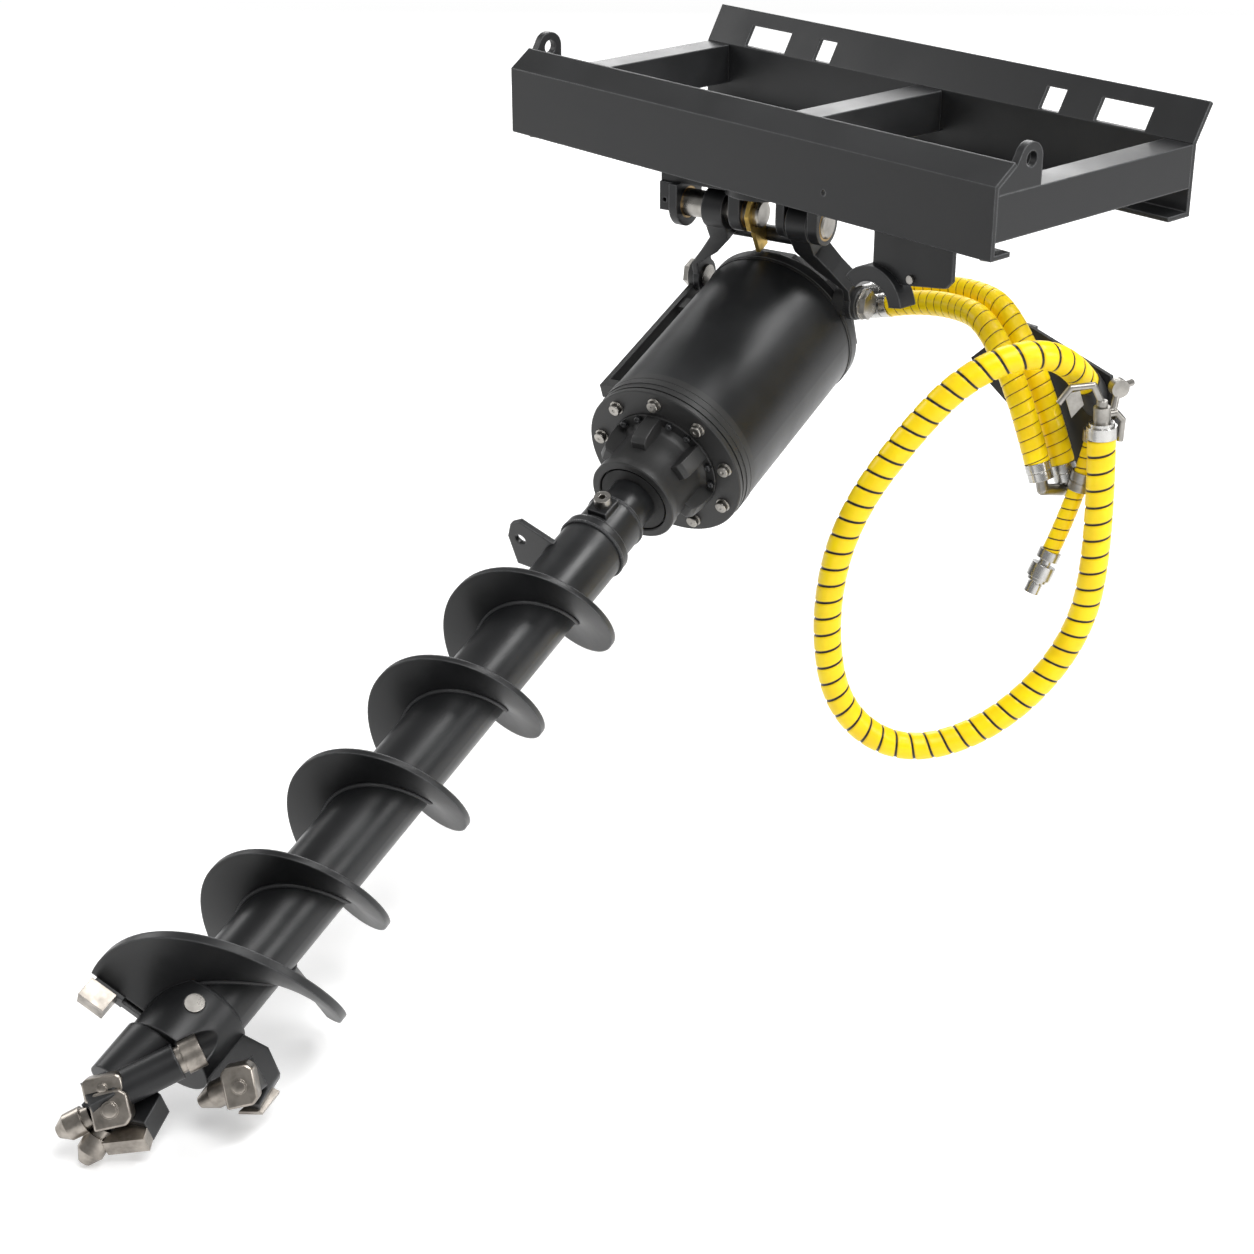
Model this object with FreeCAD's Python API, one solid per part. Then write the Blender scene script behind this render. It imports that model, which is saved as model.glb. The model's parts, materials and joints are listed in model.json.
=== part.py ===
"""Earth auger drive on a loader mounting frame, in millimetres.

Axes: X across the frame, Y from the front plate to the rear plate, Z up.
Origin: centre of the attachment face, the plane on top of the three frame tubes.
Every node is written at its rest pose in this one frame.
"""
import math
import os

import FreeCAD
import Part
from FreeCAD import Placement, Rotation, Vector as V

# frame
FRAME_W = 1143.0
FRAME_D = 505.0
PLATE_T = 8.0
FRONT_TOP = 15.6
FRONT_BOTTOM = -100.6
REAR_BOTTOM = -120.8
TUBE_W = 58.0
TUBE_H = 72.6
TUBE_WALL = 6.0
CENTRE_W = 61.6

# hitch
KING_Y = 84.0
KING_R = 20.0
BASE_T = 20.0
SWIVEL_TOP = -104.0
SWIVEL_T = 14.0
PIN_Z = -156.0
PIN_R = 24.0
LINK_BACK = 60.0
LINK_DROP = 147.0
CROSS_R = 14.0
YAW = 15.0
SWING = 70.0
TRUNNION_B = 66.0
TRUNNION_W = 420.0
TRUNNION_R = 16.0
EYE_IN = 146.0
EYE_OUT = 158.0
CHEEK_OUT = 168.3

# drive
HOOD_R = 145.0
HOOD_WALL = 6.0
HOOD_L = 415.0
FLANGE_T = 22.0
FLANGE_BORE = 100.0
BOLT_CIRCLE = 122.0
BOLT_COUNT = 9
INNER_CIRCLE = 93.8
NOSE_R = 75.0
NOSE_L = 105.0
SHAFT_R = 41.0
MOTOR_R = 70.0
MOTOR_END = 524.0

# gear train
MODULE = 3.5
SUN_TEETH = 15
PLANET_TEETH = 21
RING_TEETH = SUN_TEETH + 2 * PLANET_TEETH
PLANETS = 3
GEAR_W0 = 46.0
GEAR_W1 = 86.0

# auger
TUBE_R = 56.0
FLIGHT_R = 123.0
CUT_R = 156.0
PITCH = 208.0
CUT_PITCH = 313.0
FLIGHT_T = 10.0
FLIGHT_START = 308.0
CUT_START = 1110.0
MAIN_END = 1122.0
FLIGHT_END = 1298.0
FLIGHT_PHASE = 210.0
HUB_START = 1250.0
HUB_R = 65.0
HUB_L = 86.0

# hoses
HOSE_R = 21.5
LOOP_R = 23.5
TAIL_R = 15.0

FRONT_Y = -FRAME_D / 2
X_AXIS = V(1, 0, 0)
Y_AXIS = V(0, 1, 0)
Z_AXIS = V(0, 0, 1)
ROOT = Placement()
SWIVEL = Placement(V(0, FRONT_Y + KING_Y, 0), Rotation(Z_AXIS, YAW))
LINK_TILT = math.degrees(math.atan2(LINK_BACK, LINK_DROP))
LINK_L = math.hypot(LINK_BACK, LINK_DROP)
LINK = SWIVEL.multiply(Placement(V(0, 0, PIN_Z), Rotation(X_AXIS, LINK_TILT)))
DRIVE = SWIVEL.multiply(
    Placement(V(0, LINK_BACK, PIN_Z - LINK_DROP), Rotation(X_AXIS, -SWING))
).multiply(Placement(V(0, TRUNNION_B, -TRUNNION_W), Rotation()))


def box(x0, x1, y0, y1, z0, z1):
    return Part.makeBox(x1 - x0, y1 - y0, z1 - z0, V(x0, y0, z0))


def cyl(radius, start, end):
    way = end - start
    return Part.makeCylinder(radius, way.Length, start, way)


def zcyl(radius, z0, z1, x=0.0, y=0.0):
    return Part.makeCylinder(radius, z1 - z0, V(x, y, z0), Z_AXIS)


def xcyl(radius, x0, x1, y=0.0, z=0.0):
    return Part.makeCylinder(radius, x1 - x0, V(x0, y, z), X_AXIS)


def ring(r_in, r_out, z0, z1):
    return zcyl(r_out, z0, z1).cut(zcyl(r_in, z0 - 1, z1 + 1))


def xring(r_in, r_out, x0, x1, y=0.0, z=0.0):
    return xcyl(r_out, x0, x1, y, z).cut(xcyl(r_in, x0 - 1, x1 + 1, y, z))


def prism(points, way):
    wire = Part.makePolygon(list(points) + [points[0]])
    return Part.Face(wire).extrude(way)


def slab_x(outline, x0, x1):
    """Outline in Y and Z, thickness along X."""
    return prism([V(x0, y, z) for y, z in outline], V(x1 - x0, 0, 0))


def slab_y(outline, y0, y1):
    """Outline in X and Z, thickness along Y."""
    return prism([V(x, y0, z) for x, z in outline], V(0, y1 - y0, 0))


def slab_z(outline, z0, z1):
    """Outline in X and Y, thickness along Z."""
    return prism([V(x, y, z0) for x, y in outline], V(0, 0, z1 - z0))


def ngon(sides, across, turn=0.0):
    radius = across / 2 / math.cos(math.pi / sides)
    steps = [math.radians(turn + 360.0 * (k + 0.5) / sides) for k in range(sides)]
    return [(radius * math.cos(a), radius * math.sin(a)) for a in steps]


def fuse(shapes):
    whole = shapes[0]
    for shape in shapes[1:]:
        whole = whole.fuse(shape)
    return whole.removeSplitter()


def cut(shape, tools):
    for tool in tools:
        shape = shape.cut(tool)
    return shape


def polar(radius, degrees):
    angle = math.radians(degrees)
    return radius * math.cos(angle), radius * math.sin(angle)


def turned(shape, degrees):
    copy = shape.copy()
    copy.rotate(V(0, 0, 0), Z_AXIS, degrees)
    return copy


def save(name, shapes, place=ROOT):
    """Write one node: one solid, or a group of separate solids."""
    items = shapes if isinstance(shapes, list) else [shapes]
    placed = []
    for item in items:
        copy = item.copy()
        copy.Placement = place.multiply(copy.Placement)
        placed.append(copy)
    whole = placed[0] if len(placed) == 1 else Part.makeCompound(placed)
    if len(placed) == 1 and whole.ShapeType == "Compound" and len(whole.Solids) == 1:
        whole = whole.Solids[0]
    whole.exportStep(os.path.join("parts", name + ".step"))


def back(x, y, z):
    """A point with y measured back from the front plate's outer face."""
    return V(x, y + FRONT_Y, z)


def local(a, b, w):
    """A point of the drive: a across, b up from the axis, w from the front flange."""
    return DRIVE.multVec(V(a, -b, w))


def cord(points, radius):
    """Round cord on straight runs joined by tangent arcs."""
    edges = []
    start = points[0]
    for before, corner, after in zip(points, points[1:], points[2:]):
        into = (corner - before).normalize()
        out = (after - corner).normalize()
        half = math.acos(max(-1.0, min(1.0, into.dot(out)))) / 2
        reach = 0.45 * min((corner - before).Length, (after - corner).Length)
        bend = reach / math.tan(half)
        first = corner - into * reach
        last = corner + out * reach
        inward = (out - into).normalize()
        middle = corner + inward * (bend / math.cos(half) - bend)
        edges.append(Part.LineSegment(start, first).toShape())
        edges.append(Part.Arc(first, middle, last).toShape())
        start = last
    edges.append(Part.LineSegment(start, points[-1]).toShape())
    wire = Part.Wire(edges)
    circle = Part.makeCircle(radius, points[0], (points[1] - points[0]).normalize())
    return wire.makePipeShell([Part.Wire([circle])], True, True)


# ---------------------------------------------------------------- frame
def front_plate():
    y0 = FRONT_Y
    y1 = FRONT_Y + PLATE_T
    outline = [
        (y0, FRONT_BOTTOM), (y0, FRONT_TOP), (y0 + 43, FRONT_TOP + 30.5),
        (y0 + 47.6, FRONT_TOP + 24), (y1, FRONT_TOP - 4.1),
        (y1, FRONT_BOTTOM + PLATE_T), (y0 + 45, FRONT_BOTTOM + PLATE_T),
        (y0 + 45, FRONT_BOTTOM),
    ]
    plate = slab_x(outline, -FRAME_W / 2, FRAME_W / 2)
    hole = Part.makeCylinder(5, 20, V(218, y0 - 5, -62), Y_AXIS)
    studs = [zcyl(6.3, FRONT_BOTTOM - 2, FRONT_BOTTOM + 12, x, y0 + 27) for x in STUD_X]
    return cut(plate, [hole] + studs)


def rear_plate():
    y0 = -FRONT_Y
    y1 = y0 - PLATE_T
    outline = [
        (y0, REAR_BOTTOM), (y0, 0), (y0 + 36, 61), (y0 + 29.1, 65.1), (y1, 2.2),
        (y1, REAR_BOTTOM + PLATE_T), (y0 - 57, REAR_BOTTOM + PLATE_T), (y0 - 57, REAR_BOTTOM),
    ]
    plate = slab_x(outline, -FRAME_W / 2, FRAME_W / 2)
    windows = [box(x0, x1, y0 - 12, y0 + 30, 4, 40) for x0, x1 in WINDOWS]
    holes = [zcyl(8, REAR_BOTTOM - 2, REAR_BOTTOM + 12, x, y0 - 36) for x in LOWER_HOLES]
    return cut(plate, windows + holes)


STUD_X = (-540.0, 540.0)
WINDOWS = ((-472, -366), (-291, -248), (248, 291), (366, 472))
LOWER_HOLES = (-430.0, -180.0, 180.0, 430.0)


def side_tube(x0, x1):
    y0 = FRONT_Y + PLATE_T
    y1 = -y0
    outer = box(x0, x1, y0, y1, -TUBE_H, 0)
    inner = box(x0 + TUBE_WALL, x1 - TUBE_WALL, y0 - 1, y1 + 1, TUBE_WALL - TUBE_H, -TUBE_WALL)
    return outer.cut(inner)


def centre_channel():
    y0 = FRONT_Y + PLATE_T
    half = CENTRE_W / 2
    outer = box(-half, half, y0, -y0, -TUBE_H, 0)
    inner = box(TUBE_WALL - half, half - TUBE_WALL, y0 - 1, 1 - y0, -TUBE_H - 1, -TUBE_WALL)
    return outer.cut(inner)


def lift_ear(x0, x1):
    y0 = FRONT_Y
    outline = [
        (y0 + 8.1, 0), (y0 + 8.1, 11.1), (y0 + 47.8, 39.3), (y0 + 63.5, 64),
        (y0 + 108.5, 45), (y0 + 108.5, 0),
    ]
    ear = slab_x(outline, x0, x1).fuse(xcyl(26.5, x0, x1, y0 + 82, 45))
    return ear.cut(xcyl(12.7, x0 - 1, x1 + 1, y0 + 82, 45)).removeSplitter()


def frame_parts():
    half = FRAME_W / 2
    save("front_plate", front_plate())
    save("rear_plate", rear_plate())
    save("side_tubes", [side_tube(-half, TUBE_W - half), side_tube(half - TUBE_W, half)])
    save("centre_channel", centre_channel())
    save("lift_ears", [lift_ear(-half, 14 - half), lift_ear(half - 14, half)])
    bolts = []
    nuts = []
    for x in STUD_X:
        y = FRONT_Y + 27
        head = slab_z(ngon(6, 19), FRONT_BOTTOM - 8, FRONT_BOTTOM)
        shank = zcyl(6, FRONT_BOTTOM, -TUBE_H)
        bolt = fuse([head, shank])
        bolt.translate(V(x, y, 0))
        bolts.append(bolt)
        low = FRONT_BOTTOM + PLATE_T
        nut = slab_z(ngon(6, 19), low, low + 9).cut(zcyl(6.1, low - 1, low + 12))
        nut.translate(V(x, y, 0))
        nuts.append(nut)
    bolts.append(Part.makeCylinder(7, 6, V(384, FRONT_Y + 30, -176), Y_AXIS))
    save("frame_bolts", bolts + nuts)
    hanger_parts()


def hanger_parts():
    y0 = FRONT_Y + 36
    top = FRONT_BOTTOM
    plate = slab_y([(366, top), (467, top), (467, -163), (455, -176), (366, -190)], y0, y0 + 8)
    gusset = slab_y([(300, top), (366, top), (366, -190), (300, -190)], y0, y0 + 8)
    arc_c = V(309, y0 - 14, -236)
    disc = Part.makeCylinder(68, 36, arc_c, Y_AXIS)
    hollow = Part.makeCylinder(42, 40, arc_c - V(0, 2, 0), Y_AXIS)
    wedge = slab_y([(309, -236), (240, -184), (240, -100), (420, -100), (420, -216)],
                   y0 - 20, y0 + 40)
    saddle = disc.cut(hollow).common(wedge)
    save("hose_hanger", fuse([plate, gusset.cut(disc)]))
    save("hose_saddle", saddle)


# ---------------------------------------------------------------- swivel
def hitch_base():
    y0 = FRONT_Y + PLATE_T
    king = FRONT_Y + KING_Y
    base = box(-150, 150, y0, king + 96, -TUBE_H - BASE_T, -TUBE_H)
    return base.cut(zcyl(KING_R + 4, -TUBE_H - BASE_T - 1, 1 - TUBE_H, 0, king))


def ear(x0, x1, radius, bore):
    low = SWIVEL_TOP - SWIVEL_T
    plate = box(x0, x1, -radius, radius, PIN_Z, low)
    return cut(plate.fuse(xcyl(radius, x0, x1, 0, PIN_Z)),
               [xcyl(bore, x0 - 1, x1 + 1, 0, PIN_Z)]).removeSplitter()


def swivel_parts():
    top = SWIVEL_TOP
    low = SWIVEL_TOP - SWIVEL_T
    under = -TUBE_H - BASE_T
    save("hitch_base_plate", hitch_base())
    save("kingpin_bushes", [ring(KING_R + 0.06, KING_R + 4, under, -TUBE_H),
                            ring(KING_R + 0.3, 38, under - 11.1, under)],
         Placement(V(0, FRONT_Y + KING_Y, 0), Rotation()))
    plate = fuse([box(-190, 125, -26, 44, low, top), zcyl(66, low, top)])
    save("swivel_plate", plate.cut(zcyl(KING_R, low - 1, top + 1)), SWIVEL)
    king = zcyl(KING_R, low, -TUBE_H + 20)
    save("kingpin", king, SWIVEL)
    nut = ring(KING_R, 24, -TUBE_H + 0.3, -TUBE_H + 16)
    slots = [turned(box(21.5, 26, -3, 3, -70, -50), 90 * k) for k in range(4)]
    save("kingpin_nut", cut(nut, slots), SWIVEL)
    bore = PIN_R + 4
    block = box(-190, -165, -31, 31, PIN_Z - 12, low)
    outer = fuse([ear(-165, -149, 42, bore), block])
    outer = cut(outer, [xcyl(bore, -172, -140, 0, PIN_Z), box(-170, -140, -50, 50, low, low + 9),
                        Part.makeCylinder(4, 12, V(-180, -32, -150), Y_AXIS)])
    save("hinge_ears", [outer, ear(-50, -28, 34, bore), ear(42, 58, 32, bore),
                        ear(105, 125, 36, bore)], SWIVEL)
    bushes = []
    for x0, x1 in ((-165, -149), (-50, -28), (42, 58), (105, 125)):
        bushes.append(xring(PIN_R + 0.06, bore, x0, x1, 0, PIN_Z))
    save("ear_bushes", bushes, SWIVEL)


# ---------------------------------------------------------------- link
def link_arm(sign):
    sections = (
        (-14, 63, 103, 30), (-50, 66, 104, 24), (-84, 98, 130, 21),
        (-118, EYE_IN, EYE_OUT, 22), (-LINK_L, EYE_IN, EYE_OUT, 24),
    )
    wires = []
    for z, a0, a1, half in sections:
        corners = [V(sign * a0, -half, z), V(sign * a1, -half, z),
                   V(sign * a1, half, z), V(sign * a0, half, z)]
        wires.append(Part.makePolygon(corners + [corners[0]]))
    arm = Part.makeLoft(wires, True, True)
    top = sorted((sign * 63, sign * 103))
    low = sorted((sign * EYE_IN, sign * EYE_OUT))
    return fuse([arm, xcyl(36, top[0], top[1]), xcyl(30, low[0], low[1], 0, -LINK_L)])


def link_parts():
    cross = xcyl(CROSS_R, -80, 80, 24, -58)
    yoke = fuse([link_arm(-1), link_arm(1), cross])
    bores = [xcyl(PIN_R, -110, -55), xcyl(PIN_R, 55, 110),
             xcyl(TRUNNION_R + 0.06, -170, -140, 0, -LINK_L),
             xcyl(TRUNNION_R + 0.06, 140, 170, 0, -LINK_L)]
    save("link_yoke", cut(yoke, bores), LINK)
    left = xcyl(PIN_R, -168, -1).fuse(Part.makeCone(PIN_R, PIN_R - 3, 3, V(-1, 0, 0), X_AXIS))
    right = xcyl(PIN_R, 41, 126).fuse(Part.makeCone(PIN_R, PIN_R - 3, 3, V(126, 0, 0), X_AXIS))
    save("hinge_pins", [left.removeSplitter(), right.removeSplitter()], LINK)
    eye = prism([V(-16, y, z) for y, z in ngon(8, 68)], V(8, 0, 0))
    tail = slab_x([(-24, -20), (16, -20), (8, -68), (-20, -68)], -16, -8)
    keeper = cut(fuse([eye, tail]), [xcyl(PIN_R, -20, 0), xcyl(CROSS_R, -20, 0, 24, -58)])
    save("pin_keeper", keeper, LINK)


# ---------------------------------------------------------------- drive
def side_bar():
    b0 = -TRUNNION_B
    outer = -CHEEK_OUT
    inner = -EYE_OUT - 0.3
    boss = xcyl(30, outer, inner, b0, TRUNNION_W)
    bar = box(outer, inner, b0 + 4, b0 + 30, 84, TRUNNION_W)
    foot = box(outer, -100, b0 + 4, b0 + 30, 84, 104)
    post = box(outer + 3, -100, b0 + 8, b0 + 26, 330, 358)
    solid = fuse([boss, bar, foot, post])
    return cut(solid, [zcyl(HOOD_R, -5, 500), xcyl(TRUNNION_R, -190, -150, b0, TRUNNION_W)])


def right_cheek():
    b0 = -TRUNNION_B
    inner = EYE_OUT + 0.3
    boss = xcyl(27, inner, CHEEK_OUT, b0, TRUNNION_W)
    arm = box(inner, CHEEK_OUT, b0 - 20, b0 + 24, 318, TRUNNION_W)
    post = box(100, CHEEK_OUT - 2, b0 - 12, b0 + 20, 322, 356)
    solid = fuse([boss, arm, post])
    return cut(solid, [zcyl(HOOD_R, -5, 500), xcyl(TRUNNION_R, 150, 190, b0, TRUNNION_W)])


def hood():
    tube = ring(HOOD_R - HOOD_WALL, HOOD_R, FLANGE_T, HOOD_L)
    band = ring(HOOD_R - 2, HOOD_R + 2, HOOD_L - 18, HOOD_L)
    return fuse([tube, band])


def rear_cap():
    plate = ring(MOTOR_R + 0.3, HOOD_R - HOOD_WALL, HOOD_L - 8, HOOD_L)
    facets = slab_z(ngon(12, 268), HOOD_L, HOOD_L + 22).cut(zcyl(118, HOOD_L - 1, HOOD_L + 30))
    return fuse([plate, facets])


def flange():
    body = cut(zcyl(HOOD_R, 0, FLANGE_T), [
        zcyl(FLANGE_BORE, -1, 10), zcyl(FLANGE_BORE - 10, 9, FLANGE_T + 1),
        ring(HOOD_R - 2.5, HOOD_R + 5, 9, 12),
    ])
    for k in range(BOLT_COUNT):
        x, y = polar(BOLT_CIRCLE, 360.0 * k / BOLT_COUNT + 20)
        body = body.cut(zcyl(5.3, -1, FLANGE_T + 1, x, y))
    for x, y in inner_bolt_spots():
        body = body.cut(zcyl(2.9, 9, FLANGE_T + 1, x, y))
    return body


def inner_bolt_spots():
    spots = []
    for k in range(5):
        for step in (-10, 10):
            spots.append(polar(INNER_CIRCLE, 72.0 * k + 54 + step))
    return spots


def nose():
    body = fuse([
        zcyl(FLANGE_BORE - 0.3, -2, 10), zcyl(FLANGE_BORE - 10.3, 10, FLANGE_T),
        zcyl(NOSE_R, -NOSE_L, -2),
    ])
    ribs = []
    for k in range(5):
        rib = prism([V(70, -7, -1), V(97, -7, -1), V(91, -7, -34), V(78, -7, -62), V(70, -7, -62)],
                    V(0, 14, 0))
        ribs.append(turned(rib, 72.0 * k + 18))
    body = fuse([body] + ribs)
    tools = [zcyl(45, -NOSE_L - 1, FLANGE_T + 1), zcyl(60, -NOSE_L - 1, -NOSE_L + 12),
             zcyl(62, -88, -58), zcyl(62, -10, FLANGE_T + 1)]
    for x, y in inner_bolt_spots():
        tools.append(zcyl(2.9, -5, 12, x, y))
    return cut(body, tools)


def bearing(z0, z1):
    """Outer race, rollers and inner race as separate solids."""
    rollers = []
    for k in range(12):
        x, y = polar(51.6, 30.0 * k)
        rollers.append(zcyl(3.9, z0 + 3, z1 - 3, x, y))
    return [ring(55.7, 62, z0, z1), ring(SHAFT_R + 0.06, 47.5, z0, z1)] + rollers


def hex_bolt(x, y, head, across, shank, z_head, z_end):
    cap = slab_z(ngon(6, across), z_head - head, z_head)
    body = fuse([cap, zcyl(shank, z_head, z_end)])
    body.translate(V(x, y, 0))
    return body


def tooth(radius, depth, root_w, tip_w, z0, z1):
    """A trapezoid tooth standing out along +X from the root radius."""
    pts = [V(radius - 1, -root_w / 2, z0), V(radius + depth, -tip_w / 2, z0),
           V(radius + depth, tip_w / 2, z0), V(radius - 1, root_w / 2, z0)]
    return prism(pts, V(0, 0, z1 - z0))


def gear(teeth, bore, z0, z1, turn=0.0):
    pitch_r = MODULE * teeth / 2
    root = pitch_r - 1.25 * MODULE
    body = zcyl(root, z0, z1)
    for k in range(teeth):
        one = tooth(root, 2.15 * MODULE, 6.6, 1.9, z0, z1)
        body = body.fuse(turned(one, 360.0 * k / teeth + turn))
    body = body.removeSplitter()
    return body.cut(zcyl(bore, z0 - 1, z1 + 1)) if bore else body


def ring_gear():
    pitch_r = MODULE * RING_TEETH / 2
    root = pitch_r + 1.25 * MODULE
    tip = pitch_r - 0.9 * MODULE
    corners = []
    step = 360.0 / RING_TEETH
    for k in range(RING_TEETH):
        base = step * k + ring_turn()
        for radius, off in ((tip, -0.11), (tip, 0.11), (root, 0.31), (root, 0.69)):
            corners.append(V(*polar(radius, base + off * step), FLANGE_T))
    teeth = prism(corners, V(0, 0, 88))
    body = zcyl(135, FLANGE_T, 110).cut(teeth)
    for k in range(BOLT_COUNT):
        x, y = polar(BOLT_CIRCLE, 360.0 * k / BOLT_COUNT + 20)
        body = body.cut(zcyl(5.3, FLANGE_T - 1, 50, x, y))
    return body


def planet_centres():
    distance = MODULE * (SUN_TEETH + PLANET_TEETH) / 2
    return [polar(distance, 120.0 * k + 90) for k in range(PLANETS)]


def gearbox_parts():
    save("front_flange", flange(), DRIVE)
    save("gearbox_nose", nose(), DRIVE)
    bolts = []
    for k in range(BOLT_COUNT):
        x, y = polar(BOLT_CIRCLE, 360.0 * k / BOLT_COUNT + 20)
        bolts.append(hex_bolt(x, y, 10, 19, 5.2, 0, 48))
    bolts += [hex_bolt(x, y, 4, 9, 2.8, -2, 20) for x, y in inner_bolt_spots()]
    save("gearbox_bolts", bolts, DRIVE)
    save("shaft_bearings", bearing(-88, -58) + bearing(-10, 20), DRIVE)
    save("shaft_seal", ring(SHAFT_R + 0.15, 60, -NOSE_L + 2, -NOSE_L + 12), DRIVE)
    save("ring_gear", ring_gear(), DRIVE)
    centres = planet_centres()
    distance = math.hypot(*centres[0])
    sun = gear(SUN_TEETH, 0, GEAR_W0 - 2, GEAR_W1 + 2, SUN_TURN)
    shaft = zcyl(14, GEAR_W1 + 2, 138)
    save("sun_shaft", fuse([sun, shaft]), DRIVE)
    for k, (x, y) in enumerate(centres):
        wheel = gear(PLANET_TEETH, 16.1, GEAR_W0, GEAR_W1, planet_turn(120.0 * k + 90))
        wheel.translate(V(x, y, 0))
        save("planet_gear_%d" % (k + 1), wheel, DRIVE)
    plate_a = zcyl(88, 30, 42)
    plate_b = ring(32, 88, 90, 102)
    posts = [zcyl(16, 30, 102, x, y) for x, y in centres]
    for k in range(PLANETS):
        x, y = polar(distance + 6, 120.0 * k + 150)
        posts.append(zcyl(9, 41, 91, x, y))
    save("planet_carrier", fuse([plate_a, plate_b] + posts), DRIVE)


SUN_TURN = 90.0 + 180.0 / SUN_TEETH


def planet_turn(angle):
    """Tooth angle of a planet at this polar angle: a tooth towards the sun's gap."""
    sun_step = 360.0 / SUN_TEETH
    planet_step = 360.0 / PLANET_TEETH
    phase = ((angle - SUN_TURN) / sun_step) % 1.0
    return angle + 180.0 + (phase - 0.5) * planet_step


def ring_turn():
    """Angle of one ring gear tooth, so that its gaps take the planets' teeth."""
    planet_step = 360.0 / PLANET_TEETH
    phase = ((90 - planet_turn(90)) / planet_step) % 1.0
    return 90 - (phase + 0.5) * 360.0 / RING_TEETH


def motor_parts():
    plate = ring(46, 135, 110, 124)
    save("motor_plate", plate, DRIVE)
    block = box(50, 105, -44, 14, 438, MOTOR_END)
    body = fuse([
        zcyl(92, 124, 140), zcyl(MOTOR_R - 6, 140, 300), zcyl(MOTOR_R, 300, MOTOR_END - 10),
        zcyl(MOTOR_R - 8, MOTOR_END - 10, MOTOR_END), block,
    ])
    save("motor", body.cut(zcyl(14.1, 123, 139)), DRIVE)
    save("hood", hood(), DRIVE)
    save("hood_rear_cap", rear_cap(), DRIVE)
    save("left_side_bar", side_bar(), DRIVE)
    save("right_cheek", right_cheek(), DRIVE)
    bolts = []
    washers = []
    for sign in (-1, 1):
        face = CHEEK_OUT
        shank = xcyl(TRUNNION_R, 142.4, face + 3)
        clip = xcyl(20, 142.4, EYE_IN - 0.3)
        head = prism([V(face + 3, y, z) for y, z in ngon(6, 44)], V(11, 0, 0))
        bolt = fuse([shank, clip, head])
        washer = xring(TRUNNION_R, 27, face, face + 3)
        if sign < 0:
            bolt.rotate(V(0, 0, 0), Z_AXIS, 180)
            washer.rotate(V(0, 0, 0), Z_AXIS, 180)
        bolt.translate(V(0, -TRUNNION_B, TRUNNION_W))
        washer.translate(V(0, -TRUNNION_B, TRUNNION_W))
        bolts.append(bolt)
        washers.append(washer)
    save("trunnion_bolts", bolts + washers, DRIVE)


# ---------------------------------------------------------------- hoses
PORT_TILT = math.radians(18)
PORTS = {"a": (12.0, 506.0), "b": (14.0, 459.0)}


def port_point(name, reach):
    """A point on a port's outlet line, reach millimetres out of the block."""
    b, w = PORTS[name]
    return local(105 + reach * math.cos(PORT_TILT), b + reach * math.sin(PORT_TILT), w)


def port_way(name):
    return (port_point(name, 10) - port_point(name, 0)).normalize()


def hose_route(name):
    start = port_point(name, 100)
    way = port_way(name)
    if name == "a":
        return [start, start + way * 120, back(448, 248, -270), back(542, 258, -501)]
    return [start, start + way * 105, back(452, 192, -275), back(533, 202, -488)]


LOOP = [
    (640, 226, -420), (649, 235, -605), (634, 219, -784), (566, 115, -931), (461, -5, -990),
    (381, -94, -907), (361, -116, -728), (384, -92, -548), (458, -1, -378), (507, 60, -304),
    (560, 128, -274), (582, 205, -301), (575, 258, -352),
]
TAIL = [(598, 262, -446), (587, 246, -542), (571, 208, -636)]


def ferrule(start, way, steps):
    """Stepped sleeve: rings of (length, radius) in turn."""
    rings = []
    at = start
    for length, radius in steps:
        rings.append(cyl(radius, at, at + way * length))
        at = at + way * length
    return fuse(rings)


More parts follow.
